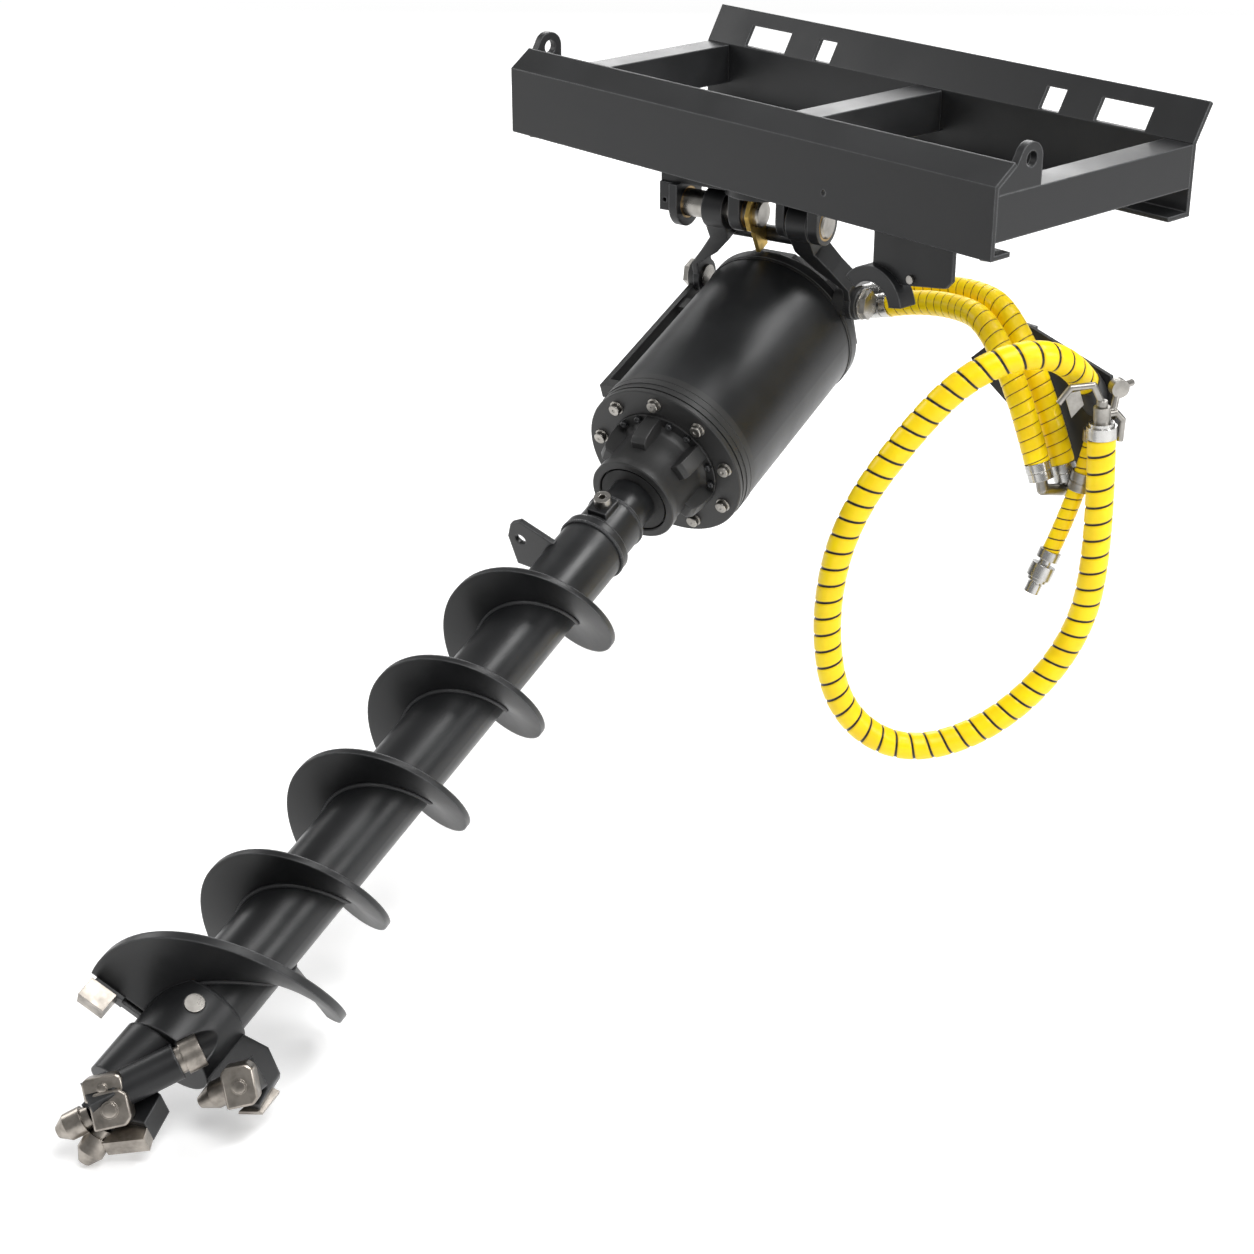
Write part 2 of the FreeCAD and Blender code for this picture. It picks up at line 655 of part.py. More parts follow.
def hose_parts():
    adapters = []
    sleeves = []
    for name in ("a", "b"):
        way = port_way(name)
        stub = cyl(17, port_point(name, -6), port_point(name, 24))
        adapters.append(stub.cut(box_in_drive(50, 105, -44, 14, 438, MOTOR_END)))
        steps = ((16, 19), (3, 16.5), (18, 20), (3, 17.5), (18, 21), (3, 19), (15, 22))
        sleeves.append(ferrule(port_point(name, 24), way, steps))
    save("port_adapters", adapters)
    routes = {name: hose_route(name) for name in ("a", "b")}
    save("pressure_hose", cord(routes["a"], HOSE_R))
    save("return_hose", cord(routes["b"], HOSE_R))
    loop = [back(*p) for p in LOOP]
    tail = [back(*p) for p in TAIL]
    save("loop_hose", cord(loop, LOOP_R))
    save("tail_hose", cord(tail, TAIL_R))
    ends = {}
    for name in ("a", "b"):
        end = routes[name][-1]
        way = (end - routes[name][-2]).normalize()
        sleeves.append(ferrule(end, way, ((14, 22), (2, 20), (14, 21))))
        ends[name] = end + way * 30
    way = (loop[0] - loop[1]).normalize()
    sleeves.append(ferrule(loop[0], way, ((20, 25), (6, 21))))
    save("hose_ferrules", sleeves)
    way = (tail[1] - tail[0]).normalize()
    middle = tail[0] + way * 72
    collar = fuse([cyl(20, middle - way * 16, middle - way * 2),
                   cyl(18.5, middle - way * 2, middle + way * 2),
                   cyl(20, middle + way * 2, middle + way * 16)])
    low = {name: ends[name] + V(4, 0, -16) for name in ends}
    lug = cyl(7, low["a"], back(low["a"].x, BRACKET_Y, low["a"].z))
    tee = fuse([collar, rod([ends["b"], low["b"], low["a"], middle], 10), rod([ends["a"], low["a"]], 10), lug])
    elbow = rod([loop_end(20), loop_end(20) + V(-20, 30, 6), tail[0] + V(0, 0, 20), tail[0]], 10)
    elbow = fuse([elbow, cyl(TAIL_R + 3, tail[0], tail[0] + V(0, 0, 20))])
    tail_hose = cord(tail, TAIL_R)
    clamp = clamp_solids()
    save("hose_fittings", [cut(tee, [tail_hose] + sleeves), cut(elbow, [tail_hose, clamp[0]] + sleeves)])
    save("clamp_body", clamp[0])
    save("clamp_latch", clamp[1])
    way = (tail[-1] - tail[-2]).normalize()
    save("coupler_body", ferrule(tail[-1], way, ((16, 19), (44, 11), (18, 13))))
    sleeve = ferrule(tail[-1] + way * 26, way, ((24, 21), (6, 17)))
    save("coupler_sleeve", sleeve.cut(cyl(11.08, tail[-1] + way * 20, tail[-1] + way * 60)))


def box_in_drive(x0, x1, y0, y1, z0, z1):
    shape = box(x0, x1, y0, y1, z0, z1)
    shape.Placement = DRIVE.multiply(shape.Placement)
    return shape


BRACKET_Y = 292.0


def bracket_parts():
    y0 = BRACKET_Y
    outline = [(305, -384), (400, -297), (424, -299), (598, -343), (622, -436), (560, -500),
               (560, -536), (530, -536), (530, -499), (465, -489), (318, -400)]
    plate = prism([back(x, y0, z) for x, z in outline], V(0, 8, 0))
    start = local(45, -40, MOTOR_END - 4)
    arm = rod([start, back(150, 300, -333), back(290, 318, -303), back(392, 311, -325)], 11)
    pad = prism([back(x, y0 + 8, z) for x, z in ((372, -350), (420, -350), (420, -306), (394, -306))],
                V(0, 22, 0))
    end = back(*LOOP[-1])
    way = (end - back(*LOOP[-2])).normalize()
    socket = cyl(26, end - way * 4, end + way * 70)
    socket = socket.common(box(480, 680, -300, y0 + FRONT_Y, -600, -200))
    socket = socket.cut(cyl(LOOP_R, end - way * 20, end))
    motor_end = DRIVE.multiply(Placement(V(0, 0, MOTOR_END - 60), Rotation()))
    solid = zcyl(MOTOR_R, 0, 50).fuse(zcyl(MOTOR_R - 8, 0, 60))
    solid.Placement = motor_end
    save("parking_bracket", fuse([plate, pad, arm.cut(solid), socket]))


def loop_end(reach):
    """A point on the line of the loop's first end, reach millimetres past it."""
    start = back(*LOOP[0])
    return start + (start - back(*LOOP[1])).normalize() * reach


def on_sheet(right, up, away=0.0):
    """A point by its place across, up and behind the loop's first end."""
    return back(*LOOP[0]) + V(0.668 * right - 0.744 * away, 0.744 * right + 0.668 * away, up)


def rod(points, radius):
    """Bent rod: straight lengths with ball corners."""
    shapes = []
    for first, second in zip(points, points[1:]):
        shapes.append(cyl(radius, first, second))
    for corner in points[1:-1]:
        shapes.append(Part.makeSphere(radius, corner))
    return fuse(shapes)


def clamp_solids():
    """Clamp body and latch."""
    way = (loop_end(10) - loop_end(0)).normalize()
    root = loop_end(26)
    body = cyl(14, root, root + way * 26)
    bolt_at = on_sheet(24, 78, 20)
    face = V(bolt_at.x, BRACKET_Y + FRONT_Y, bolt_at.z)
    arm = rod([root + way * 8, on_sheet(16, 44, 6), bolt_at, face], 6)
    head = cyl(15, bolt_at + V(9, -5, 0), bolt_at + V(-6, 3, 0))
    stay = rod([root + way * 12, on_sheet(20, 42), on_sheet(31, 30), on_sheet(30, -6)], 5.5)
    pivot = root + way * 26.3
    bore = cyl(6.06, pivot - way * 20, pivot + way)
    frame = cut(fuse([body, arm, head, stay]), [bore])
    post = cyl(6, pivot - way * 16, pivot + way * 6)
    base = cyl(9, pivot, pivot + way * 10)
    hook = rod([pivot + way * 5, on_sheet(-20, 88), on_sheet(-56, 84), on_sheet(-74, 58)], 5.5)
    face_way = V(0.744, -0.668, 0)
    flat = [on_sheet(-66, 74), on_sheet(-42, 80), on_sheet(-34, 56), on_sheet(-52, 34)]
    tongue = prism([p - face_way * 3 for p in flat], face_way * 6)
    return [frame, fuse([post, base, hook, tongue])]


# ---------------------------------------------------------------- auger
def flight(s0, s1, r_out, thick, pitch):
    """Right hand flight between two distances from the front flange."""
    height = s1 - s0
    helix = Part.makeHelix(pitch, height, r_out)
    half = thick / 2
    r_in = TUBE_R + 0.25
    pts = [V(r_in, 0, -half), V(r_out, 0, -half), V(r_out, 0, half), V(r_in, 0, half)]
    profile = Part.makePolygon(pts + [pts[0]])
    solid = Part.Wire(helix.Edges).makePipeShell([profile], True, True)
    turn = FLIGHT_PHASE + 360.0 * (FLIGHT_END - s1) / pitch
    solid.rotate(V(0, 0, 0), Z_AXIS, turn)
    solid.translate(V(0, 0, -s1))
    return solid


def spot(a, b, s):
    """A point of the drive by its distance s ahead of the front flange."""
    return V(a, -b, -s)


def auger_parts():
    way = spot(*polar(1, BOLT_ANGLE), 0)
    middle = spot(0, 0, 186)
    hole = cyl(9.2, middle - way * 80, middle + way * 80)
    shaft = fuse([zcyl(SHAFT_R, -150, 29.9), slab_z(ngon(6, 60), -232, -150)])
    save("output_shaft", shaft.cut(hole), DRIVE)
    hexagon = slab_z(ngon(6, 60.4), -264, -150)
    pad = box(30, 60, -18, 18, -208, -168)
    socket = fuse([
        zcyl(50, -222, -156), zcyl(52, -162, -158), turned(pad, -BOLT_ANGLE),
        zcyl(TUBE_R - 6.1, -262, -222), zcyl(TUBE_R + 3, -232, -218),
    ])
    save("drive_socket", cut(socket, [hexagon, hole]), DRIVE)
    head = cyl(14, middle + way * 60, middle + way * 74)
    key = prism([V(x, y, -30) for x, y in ngon(6, 11)], V(0, 0, 22))
    head = head.cut(aimed(key, middle + way * 90, way))
    save("socket_bolt", fuse([cyl(9, middle - way * 48, middle + way * 60), head]), DRIVE)
    save("auger_tube", ring(TUBE_R - 6, TUBE_R, -HUB_START - 14, -232), DRIVE)
    hub_room = zcyl(HUB_R + 0.3, -HUB_START - HUB_L, 0.4 - HUB_START)
    main_flight = flight(FLIGHT_START, MAIN_END, FLIGHT_R, FLIGHT_T, PITCH)
    cutting_flight = flight(CUT_START, FLIGHT_END, CUT_R, 13, CUT_PITCH).cut(hub_room)
    save("auger_flights", [main_flight, cutting_flight], DRIVE)
    lug_w = FLIGHT_START - 16
    corners = ((-20, 48), (-84, 82), (-104, 72), (-116, 44), (-112, -14), (-50, -22))
    lug = prism([spot(a, b, lug_w) for a, b in corners], V(0, 0, 9))
    lug = cut(lug, [zcyl(TUBE_R + 0.2, -300, -200), zcyl(10, -300, -200, -92, -42)])
    save("lug_plate", lug, DRIVE)
    bit_parts()


BOLT_ANGLE = 84.0


def aimed(shape, origin, way):
    """Place a shape built along +Z so that it points along way from origin."""
    copy = shape.copy()
    copy.Placement = Placement(origin, Rotation(Z_AXIS, way)).multiply(copy.Placement)
    return copy


def bullet(base, tip, radius):
    """Bullet tooth: grooved shank, collar and blunt cone."""
    way = tip - base
    total = way.Length
    cone = Part.makeCone(radius, radius * 0.45, total * 0.3, V(0, 0, total * 0.7))
    body = fuse([zcyl(radius * 0.8, 0, total * 0.22), zcyl(radius, total * 0.22, total * 0.7), cone])
    return aimed(body, base, way)


def bit_parts():
    s0 = HUB_START
    s1 = s0 + HUB_L
    tail = spot(46, 34, 1352)
    toe = spot(-2, 34, 1428)
    way = (toe - tail).normalize()
    cap = fuse([cyl(19, tail - way * 8, tail), cyl(23, tail - way * 34, tail - way * 8)])
    pin_way = spot(0.39, 0.92, 0).normalize()
    middle = spot(0, 0, s0 + 28)
    hub = cut(zcyl(HUB_R, -s1, -s0), [
        zcyl(TUBE_R + 0.2, -s0 - 14, -s0 + 1), cyl(14.1, middle - pin_way * 90, middle + pin_way * 90),
        cyl(24, tail - way * 70, tail + way * 10),
    ])
    save("bit_hub", hub, DRIVE)
    save("hub_pin", cyl(14, middle - pin_way * (HUB_R + 2), middle + pin_way * (HUB_R + 2)), DRIVE)
    big = Part.makeCircle(46, spot(-18, 14, s1), Z_AXIS)
    small = Part.makeCircle(30, spot(-34, 20, s1 + 76), Z_AXIS)
    cone = Part.makeLoft([Part.Wire([big]), Part.Wire([small])], True)
    block = aimed(box(-22, 22, -22, 22, 0, 36), toe, way)
    nose = box(-36, 4, -30, 10, -1462, -1400)
    teeth = [
        cap,
        bullet(spot(-24, 14, 1462), spot(-56, 6, 1500), 19),
        bullet(spot(-10, -6, 1462), spot(-22, -34, 1506), 19),
    ]
    cheek = slab_y([(-18, -1380), (36, -1392), (46, -1438), (-18, -1450)], -4, 34)
    wedge = slab_y([(0, -1447), (46, -1438), (54, -1454), (4, -1484)], 6, 32)
    pilot = fuse([cone, cyl(25, tail, toe), block, nose, cheek])
    save("pilot", cut(pilot, teeth), DRIVE)
    save("pilot_teeth", [teeth[0], teeth[1].cut(teeth[2]), teeth[2], wedge.cut(teeth[2]).cut(pilot)], DRIVE)
    side_parts()


def radial_box(angle, r0, r1, across0, across1, s0, s1):
    """Box on a radial plane at this polar angle, counted towards b."""
    solid = box(r0, r1, -across1, -across0, -s1, -s0)
    return turned(solid, -angle)


def side_parts():
    right = -22.0
    outline = [(HUB_R - 4, 1254), (104, 1250), (140, 1272), (146, 1326), (112, 1338),
               (HUB_R - 4, 1334)]
    wing = prism([V(r, -7, -s) for r, s in outline], V(0, 14, 0))
    wing = turned(wing, -right).cut(zcyl(HUB_R + 0.2, -1400, -1200))
    pocket = aimed(box(-22, 22, -22, 22, -8, 14), spot(122, -12, 1312), spot(-58, -26, 48))
    right_tooth = bullet(spot(122, -12, 1312), spot(64, -38, 1360), 19)
    left = 360.0 - FLIGHT_PHASE
    post = radial_box(left, 98, 146, 0, 26, FLIGHT_END - 30, FLIGHT_END + 12)
    brace = radial_box(left, HUB_R - 4, 104, 8, 22, FLIGHT_END - 6, FLIGHT_END + 12)
    left_holder = fuse([post, brace]).cut(zcyl(HUB_R + 0.2, -1400, -1200))
    left_tooth = radial_box(left, 108, 150, -4, 24, FLIGHT_END + 12, FLIGHT_END + 42)
    save("tooth_holders", [fuse([wing, pocket]).cut(right_tooth), left_holder], DRIVE)
    blade = turned(slab_y([(132, -1290), (151, -1288), (151, -1326), (124, -1344)], 7.05, 15), -right)
    save("side_teeth", [right_tooth, left_tooth, blade], DRIVE)


def main():
    os.makedirs("parts", exist_ok=True)
    frame_parts()
    swivel_parts()
    link_parts()
    gearbox_parts()
    motor_parts()
    hose_parts()
    bracket_parts()
    auger_parts()


main()
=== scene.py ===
"""Looks of an earth auger drive: finishes for every built piece, guarded hoses, welds and a stage."""

import json
import math

import bmesh
import bpy
import numpy as np
from bpy.props import FloatProperty, FloatVectorProperty, IntProperty, PointerProperty
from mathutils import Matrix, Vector


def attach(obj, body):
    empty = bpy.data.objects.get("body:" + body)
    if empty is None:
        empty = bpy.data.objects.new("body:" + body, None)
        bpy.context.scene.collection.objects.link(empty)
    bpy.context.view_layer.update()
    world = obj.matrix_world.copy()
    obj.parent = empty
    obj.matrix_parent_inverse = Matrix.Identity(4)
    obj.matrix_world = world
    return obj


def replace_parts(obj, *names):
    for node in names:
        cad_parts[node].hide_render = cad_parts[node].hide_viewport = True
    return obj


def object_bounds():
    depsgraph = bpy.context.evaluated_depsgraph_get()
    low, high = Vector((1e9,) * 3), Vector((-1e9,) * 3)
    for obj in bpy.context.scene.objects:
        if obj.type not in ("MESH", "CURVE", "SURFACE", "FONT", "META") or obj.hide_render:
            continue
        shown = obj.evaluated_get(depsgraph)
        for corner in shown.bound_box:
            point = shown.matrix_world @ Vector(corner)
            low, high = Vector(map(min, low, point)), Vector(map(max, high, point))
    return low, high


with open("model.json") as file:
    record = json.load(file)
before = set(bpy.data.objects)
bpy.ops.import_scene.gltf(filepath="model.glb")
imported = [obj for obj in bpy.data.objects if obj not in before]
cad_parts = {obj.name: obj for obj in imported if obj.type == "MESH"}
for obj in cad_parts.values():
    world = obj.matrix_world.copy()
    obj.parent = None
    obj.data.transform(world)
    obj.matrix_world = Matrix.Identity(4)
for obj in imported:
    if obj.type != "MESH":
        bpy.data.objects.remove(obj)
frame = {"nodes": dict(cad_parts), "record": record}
CAD_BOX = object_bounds()

bl_info = {
    "name": "Earth auger drive looks",
    "version": (1, 0, 0),
    "blender": (4, 5, 0),
    "location": "3D View > Sidebar > Auger",
    "description": "Finishes the packed earth auger drive and sets its stage",
    "category": "Object",
}


def unit(vector):
    """The vector with its length brought to one."""
    return np.asarray(vector) / np.linalg.norm(vector)


# ------------------------------------------------------------------ the drive's own axes
# W runs from the bit back to the motor, A across the hitch, and Y square to both.
JOINTS = {joint["name"]: joint for joint in frame["record"]["behaviour"]["joints"]}
DRIVE_ORIGIN = np.array(JOINTS["auger_spin"]["pos_m"])
DRIVE_W = -unit(JOINTS["auger_spin"]["axis"])
DRIVE_A = unit(JOINTS["link_swing"]["axis"])
DRIVE_Y = np.cross(DRIVE_W, DRIVE_A)

# ------------------------------------------------------------------ sizes, in metres and degrees
STEM_RADIUS = 0.056
# The flights stand at this angle at this distance from the flange.
FLIGHT_PHASE = math.radians(210.0)
FLIGHT_END = 1.298
# A run of flight: start and end from the flange towards the bit, thickness, pitch.
MAIN_RUN = (0.308, 1.122, 0.010, 0.208)
CUT_RUN = (1.110, 1.248, 0.013, 0.313)
# Welds: bead radius, rise of its middle over the two faces it joins, point spacing, ripple,
# and each collar weld's distance from the flange and radius.
WELD_RADIUS = 0.0038
WELD_OVER_STEM = 0.0014
WELD_OVER_FLIGHT = 0.0016
WELD_STEP = 0.0006
WELD_RIPPLE = 0.13
RIPPLE_LENGTH = 0.0042
COLLAR_WELD_RADIUS = 0.0034
COLLAR_WELD_POINTS = 420
COLLAR_WELDS = ((0.2335, 0.0565), (1.2485, 0.0580))
# Circles of bolts and ribs, whose first one stands at START, and the cheek boss.
BOLT_CIRCLE = 0.122
BOLT_COUNT = 9
BOLT_START = -7.0
INNER_CIRCLE = 0.0935
RIB_COUNT = 6
RIB_START = -89.0
RIB_THICK = 0.027
INNER_BOLT_TURN = 11.0
CHEEK_CENTRE = (0.122, 0.066, 0.420)
# Profiles are (along, radius) pairs, outlines are (right, up) pairs.
# Each band round the hood: name, where it starts back along the drive, profile.
HOOD_BANDS = (
    ("hood_front_band", 0.0225, [
        (0.0, 0.1440), (0.0, 0.1462), (0.0115, 0.1462), (0.0125, 0.1452), (0.0137, 0.1462),
        (0.026, 0.1462), (0.0268, 0.1440)]),
    ("hood_rear_band", 0.392, [(0.0, 0.1440), (0.0, 0.1462), (0.0145, 0.1462), (0.0153, 0.1440)]),
)
FLANGE_PROFILE = [
    (0.010, 0.0900), (0.010, 0.1002), (0.0, 0.1002), (0.0, 0.1432), (0.0018, 0.1450),
    (0.0088, 0.1450), (0.0092, 0.1428), (0.0118, 0.1428), (0.0122, 0.1450), (0.0220, 0.1450),
    (0.0220, 0.0900), (0.010, 0.0900)]
CHEEK_PROFILE = [(0.0, 0.0), (0.0, 0.0280), (0.0420, 0.0280), (0.0463, 0.0240), (0.0463, 0.0)]
NOSE_PROFILE = [
    (0.010, 0.0890), (0.010, 0.0995), (-0.003, 0.0995), (-0.004, 0.0985), (-0.004, 0.0830),
    (-0.010, 0.0765), (-0.018, 0.0745), (-0.083, 0.0745), (-0.089, 0.0775), (-0.103, 0.0775),
    (-0.105, 0.0758), (-0.105, 0.0650), (-0.1035, 0.0632), (-0.0925, 0.0618), (-0.0925, 0.0455),
    (0.022, 0.0455), (0.022, 0.0890), (0.010, 0.0890)]
RIB_OUTLINE = [
    (0.070, -0.001), (0.0985, -0.001), (0.0985, -0.026), (0.0935, -0.052), (0.0865, -0.060),
    (0.070, -0.060)]
BOLT_PROFILE = [
    (-0.001, 0.0), (-0.001, 0.0125), (0.0012, 0.0125), (0.0016, 0.0120), (0.0016, 0.0102),
    (0.0092, 0.0102), (0.0104, 0.0090), (0.0106, 0.0030), (0.0096, 0.0018), (0.0096, 0.0)]
SMALL_BOLT_PROFILE = [
    (0.002, 0.0), (0.002, 0.0058), (0.0105, 0.0058), (0.0116, 0.0047), (0.0116, 0.0026),
    (0.0100, 0.0022), (0.0100, 0.0)]

# Each steel block of the bit: name, place across, in front of and back along the drive, and
# width, height, thickness. All face one way, given in the same three directions.
BLOCKS = (
    ("tip_block", (0.0069, 0.0291, -1.4475), (0.052, 0.050, 0.032)),
    ("tip_cap", (-0.0110, 0.0480, -1.4330), (0.054, 0.032, 0.030)),
    ("side_block", (0.1240, -0.0040, -1.3290), (0.044, 0.056, 0.036)),
)
BLOCK_FACE = (0.494, 0.658, -0.568)
BLOCK_RIGHT = (0.772, -0.031, 0.635)
BLOCK_BEVEL = 0.003

# Spacing of the rows along a guard.
GUARD_STEP = 0.0018
# Shares of a guard's radius: its full turns, the flare across one turn and the dip at the gap,
# and shares of its pitch: how far the dip starts before the gap, and the slope into it.
GUARD_FULL = 0.994
GUARD_FLARE = 0.012
GUARD_DIP = 0.075
DIP_LEAD = 0.05
DIP_SLOPE = 0.06
# Each hose: radius over its guard, pitch of the guard, gap as a share of the pitch, route.
ROUTES = {
    "pressure_hose": (0.0215, 0.0195, 0.045, [
        (0.1548, 0.0269, -0.2953), (0.2683, 0.0442, -0.2604), (0.448, -0.0045, -0.270),
        (0.542, 0.0055, -0.501)]),
    "return_hose": (0.0215, 0.0195, 0.045, [
        (0.1664, -0.0164, -0.3095), (0.2657, -0.0013, -0.2790), (0.452, -0.0605, -0.275),
        (0.533, -0.0505, -0.488)]),
    "loop_hose": (0.0235, 0.0295, 0.125, [
        (0.640, -0.0265, -0.420), (0.649, -0.0175, -0.605), (0.634, -0.0335, -0.784),
        (0.566, -0.1375, -0.931), (0.461, -0.2575, -0.990), (0.381, -0.3465, -0.907),
        (0.361, -0.3685, -0.728), (0.384, -0.3445, -0.548), (0.458, -0.2535, -0.378),
        (0.507, -0.1925, -0.304), (0.560, -0.1245, -0.274), (0.582, -0.0475, -0.301),
        (0.575, 0.0055, -0.352)]),
    "tail_hose": (0.015, 0.0185, 0.09, [
        (0.598, 0.0095, -0.446), (0.587, -0.0065, -0.542), (0.571, -0.0445, -0.636)]),
}

# ------------------------------------------------------------------ colours that no setting changes
BRONZE = (0.45, 0.32, 0.16)
OILED_STEEL = (0.42, 0.41, 0.40)
# Painted shade: the darker orange on each guard turn's edge beside the gap.
SHADED_LIP = (0.52, 0.27, 0.003)
GAP_DARK = (0.010, 0.009, 0.006)
# What is left of each channel of the guard's colour where it is deepest.
DEEP_SHARES = (0.93, 0.86, 1.0)

# ------------------------------------------------------------------ the stage
CAMERA_PLACE = (2.809, -3.003, 0.926)
CAMERA_DOWN = 25.06
CAMERA_TURN = 48.09
FLOOR_GAP = 0.001
FLOOR_HALF = 40.0
# The floor's glow grows from a nearer to a further distance, from a weaker to a stronger one.
FLOOR_GLOW = (2.5, 9.0, 0.30, 0.75)
SKY_LIGHT = 0.36
MIDDLE = (0.25, -0.45, -0.35)
# Each lamp: name, place, the point that it faces, side of its square, power in watts.
LAMPS = (
    ("key_light", (2.4, -1.6, 3.4), MIDDLE, 2.4, 118.0),
    ("top_light", (1.5, 1.0, 2.6), (0.25, -1.0, -0.6), 1.2, 62.0),
    ("side_light", (4.4, 0.8, 1.0), MIDDLE, 1.6, 56.0),
    ("left_light", (-3.4, -2.2, 1.4), MIDDLE, 1.8, 48.0),
    ("back_light", (-3.6, 3.2, 2.4), MIDDLE, 3.4, 190.0),
)


def drive_points(points):
    """Points given along A, Y and W from the flange's centre, turned into the object's frame."""
    return DRIVE_ORIGIN + np.asarray(points, dtype=float) @ np.array([DRIVE_A, DRIVE_Y, DRIVE_W])


def circle_spots(count, radius, start):
    """Places evenly round the drive's line, on the flange's front face."""
    angle = np.radians(start + 360.0 / count * np.arange(count))
    flat = np.stack([radius * np.cos(angle), radius * np.sin(angle), np.zeros(count)], -1)
    return drive_points(flat)


# ------------------------------------------------------------------ settings
class PaintSettings(bpy.types.PropertyGroup):
    colour: FloatVectorProperty(
        name="Paint colour", description="Charcoal paint of the steelwork",
        subtype="COLOR", size=3, min=0.0, max=1.0, default=(0.0085, 0.0088, 0.0095))
    # The edge colour is a painted highlight: paler paint laid along the edges, over a width set by the
    # edge radius.
    edge: FloatVectorProperty(
        name="Edge colour", description="Paler paint along worn edges",
        subtype="COLOR", size=3, min=0.0, max=1.0, default=(0.15, 0.153, 0.158))
    bevel: FloatProperty(
        name="Edge radius", description="How far an edge's soft highlight reaches",
        subtype="DISTANCE", unit="LENGTH", min=0.0, default=0.0042)


class SteelSettings(bpy.types.PropertyGroup):
    bright: FloatVectorProperty(
        name="Plated steel", description="Colour of the plated fittings",
        subtype="COLOR", size=3, min=0.0, max=1.0, default=(0.52, 0.515, 0.50))
    plain: FloatVectorProperty(
        name="Plain steel", description="Colour of bolts, pins and the clamp",
        subtype="COLOR", size=3, min=0.0, max=1.0, default=(0.36, 0.345, 0.32))
    tooth: FloatVectorProperty(
        name="Tooth steel", description="Colour of the ground cutting teeth",
        subtype="COLOR", size=3, min=0.0, max=1.0, default=(0.40, 0.365, 0.325))
    keeper: FloatVectorProperty(
        name="Keeper colour", description="Colour of the pin keeper",
        subtype="COLOR", size=3, min=0.0, max=1.0, default=(0.58, 0.40, 0.11))


class HoseSettings(bpy.types.PropertyGroup):
    colour: FloatVectorProperty(
        name="Guard colour", description="Colour of the spiral guard",
        subtype="COLOR", size=3, min=0.0, max=1.0, default=(1.0, 0.745, 0.004))
    sides: IntProperty(name="Sides", description="Points around a hose", min=12, default=40)


class StageSettings(bpy.types.PropertyGroup):
    floor: FloatVectorProperty(
        name="Floor colour", description="Colour of the floor",
        subtype="COLOR", size=3, min=0.0, max=1.0, default=(0.9, 0.9, 0.9))
    lens: FloatProperty(
        name="Focal length", description="Lens of the camera in millimetres",
        min=10.0, default=68.17)


class LookSettings(bpy.types.PropertyGroup):
    paint: PointerProperty(type=PaintSettings)
    steel: PointerProperty(type=SteelSettings)
    hose: PointerProperty(type=HoseSettings)
    stage: PointerProperty(type=StageSettings)


def look():
    return bpy.context.scene.auger_look


# ------------------------------------------------------------------ shader helpers
def add(tree, kind, **values):
    """A shader node with its plain attributes set."""
    item = tree.nodes.new(kind)
    for key, value in values.items():
        setattr(item, key, value)
    return item


def feed(tree, socket, value):
    """Links a socket, or sets a constant, into an input."""
    if isinstance(value, bpy.types.NodeSocket):
        tree.links.new(value, socket)
    else:
        socket.default_value = value


def maths(tree, operation, first, second=0.0):
    item = add(tree, "ShaderNodeMath", operation=operation)
    feed(tree, item.inputs[0], first)
    feed(tree, item.inputs[1], second)
    return item.outputs[0]


def spread(tree, value, low, high, to_low=0.0, to_high=1.0):
    """Stretches a value between two limits onto two others."""
    item = add(tree, "ShaderNodeMapRange")
    for index, number in enumerate((value, low, high, to_low, to_high)):
        feed(tree, item.inputs[index], number)
    return item.outputs[0]


def mixed(tree, factor, first, second):
    """A colour between two colours, which are the seventh and eighth inputs of a Mix node."""
    item = add(tree, "ShaderNodeMix", data_type="RGBA")
    feed(tree, item.inputs[0], factor)
    feed(tree, item.inputs[6], first)
    feed(tree, item.inputs[7], second)
    return item.outputs[2]


def noise(tree, vector, scale, detail=4.0, rough=0.55):
    item = add(tree, "ShaderNodeTexNoise")
    feed(tree, item.inputs["Vector"], vector)
    feed(tree, item.inputs["Scale"], scale)
    feed(tree, item.inputs["Detail"], detail)
    feed(tree, item.inputs["Roughness"], rough)
    return item.outputs["Fac"]


def rgba(colour, alpha=1.0):
    return (colour[0], colour[1], colour[2], alpha)


def new_group(name, inputs, outputs):
    """A node group with named number, vector and colour sockets."""
    tree = bpy.data.node_groups.new(name, "ShaderNodeTree")
    kinds = {"value": "NodeSocketFloat", "vector": "NodeSocketVector", "colour": "NodeSocketColor"}
    for label, kind in inputs:
        tree.interface.new_socket(label, in_out="INPUT", socket_type=kinds[kind])
    for label, kind in outputs:
        tree.interface.new_socket(label, in_out="OUTPUT", socket_type=kinds[kind])
    return tree, add(tree, "NodeGroupInput"), add(tree, "NodeGroupOutput")


